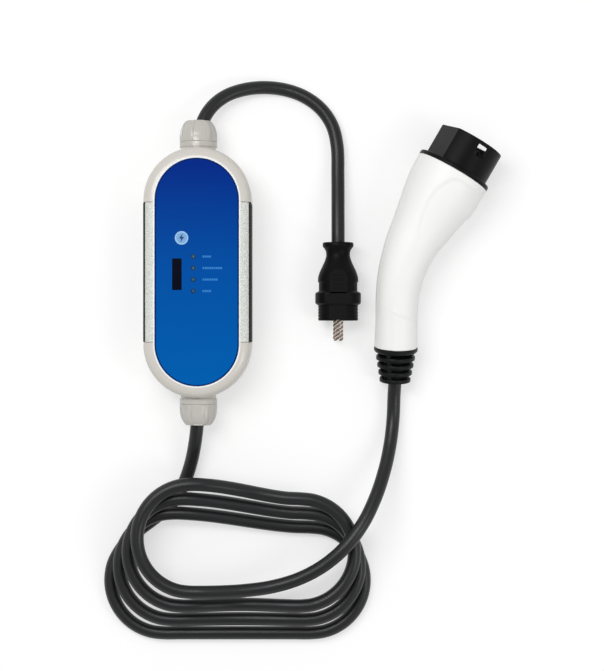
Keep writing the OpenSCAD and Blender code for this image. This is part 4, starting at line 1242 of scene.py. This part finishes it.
# %% Head and contacts
head_pieces = [
    dressed("connector_head", HEAD, "head_black", bevel=0.55),
    dressed("contact_carrier", CARRIER, "carrier_black", bevel=0.25),
    dressed("power_contacts", CONTACT, "contact_metal", bevel=0.15),
    dressed("signal_contacts", CONTACT, "contact_metal", bevel=0.1),
]
print(len(head_pieces), "pieces make the head")

# %% [markdown]
# The strain relief is soft rubber: a flange, four rings that get smaller, and four ribs that tie
# them together and leave slots between. One revolve does it: the profile steps down to the core
# between rings, and the ribs lift the radius back up at four angles.

# %% Strain relief
BOOT_L, BOOT_R, CORE_R, CORE_TAPER = 34.0, 20.5, 11.5, 2.5
RING_FIRST, RING_LAST, RING_COUNT = 18.3, 14.7, 4
BOOT_FLANGE, RIB_HALF = 5.0, 2.6


def at_boot(p):
    return lay((p[0], -p[2], p[1]))


def core_radius(z):
    return CORE_R - CORE_TAPER * z / BOOT_L


def boot_profile():
    points = [(BORE_R, 0.05), (BOOT_R - 0.5, 0.05), (BOOT_R, 0.55), (BOOT_R, 2.9), (BOOT_R - 0.3, 3.5)]
    points += [(BOOT_R - 1.7, 4.8), (BOOT_R - 2.4, BOOT_FLANGE)]
    pitch = (BOOT_L - BOOT_FLANGE - 1) / RING_COUNT
    for i in range(RING_COUNT):
        low, high = BOOT_FLANGE + pitch * (i + 0.45), BOOT_FLANGE + pitch * (i + 1)
        r = RING_FIRST + (RING_LAST - RING_FIRST) * i / (RING_COUNT - 1)
        points += [(core_radius(low) + 0.5, low - 0.5), (core_radius(low) + 1.2, low)]
        points += [(r - 0.8, low), (r - 0.25, low + 0.25), (r, low + 0.8)]
        points += [(r, high - 0.8), (r - 0.25, high - 0.25), (r - 0.8, high)]
        points += [(core_radius(high) + 1.2, high), (core_radius(high) + 0.5, min(high + 0.5, BOOT_L))]
    return points + [(8.4, BOOT_L), (7.6, BOOT_L + 0.4), (BORE_R, BOOT_L + 0.2)]


def tied(angle, radius, height):
    """Radius lifted to the ribs at four angles."""
    near = angle % (math.pi / 2) - math.pi / 4
    share = (height - BOOT_FLANGE) / (BOOT_L - BOOT_FLANGE)
    rib_r = RING_FIRST - 0.6 + (RING_LAST - 1.6 - RING_FIRST) * share
    on_rib = 1 - eased(RIB_HALF - 0.5, RIB_HALF + 0.3, np.abs(rib_r * math.sin(near)))
    lift = (height > BOOT_FLANGE - 0.1) & (height < BOOT_L - 1.5) & (radius > 7)
    return np.where(lift, np.maximum(radius, radius + (rib_r - radius) * on_rib), radius)


boot = revolved("boot", boot_profile(), at_boot, BOOT, "boot_rubber", ["strain_relief"], 168, tied, 34)
print("strain relief", len(boot.data.polygons), "faces")

# %% [markdown]
# ## What the box hides
# The boards, terminals and screws inside stay the CAD's own solids. They get finishes too, because
# the part may be opened or cut in another picture.

# %% Inner nodes
BOARD = moulded("board_green", (28, 92, 60), 0.4, grain=500, depth=0.01)
PARTS = moulded("parts_black", (44, 44, 48), 0.45, grain=700, depth=0.01)
TERMINAL = moulded("terminal_green", (56, 140, 84), 0.42, grain=800, depth=0.01)
CORE = moulded("core_insulation", (96, 66, 44), 0.5, grain=900, depth=0.01)
INNER = (
    (SEAL, "housing_gasket", "mains_gland_seal", "vehicle_gland_seal"),
    (STEEL, "housing_screws", "board_screws"),
    (BOARD, "main_board", "display_board"),
    (PARTS, "display_module", "power_relays", "supply_module"),
    (PARTS, "control_chips", "surge_absorber", "capacitor"),
    (TERMINAL, "leakage_sensor", "mains_terminals", "vehicle_terminals"),
    (CORE, "mains_cores", "vehicle_cores"),
    (GLAND, "mains_gland_locknut", "vehicle_gland_locknut"),
    (CONTACT, "line_fuse"),
    (CARRIER, "cable_clamp"),
)
for finish, *nodes in INNER:
    for node in nodes:
        inner = frame["nodes"][node].data
        inner.materials.clear()
        inner.materials.append(finish)
print(sum(len(row) - 1 for row in INNER), "inner nodes")

# %% [markdown]
# ## Cords
# The lengths of both cables.

print("cords of", round(mains_long), "and", round(vehicle_long), "mm")
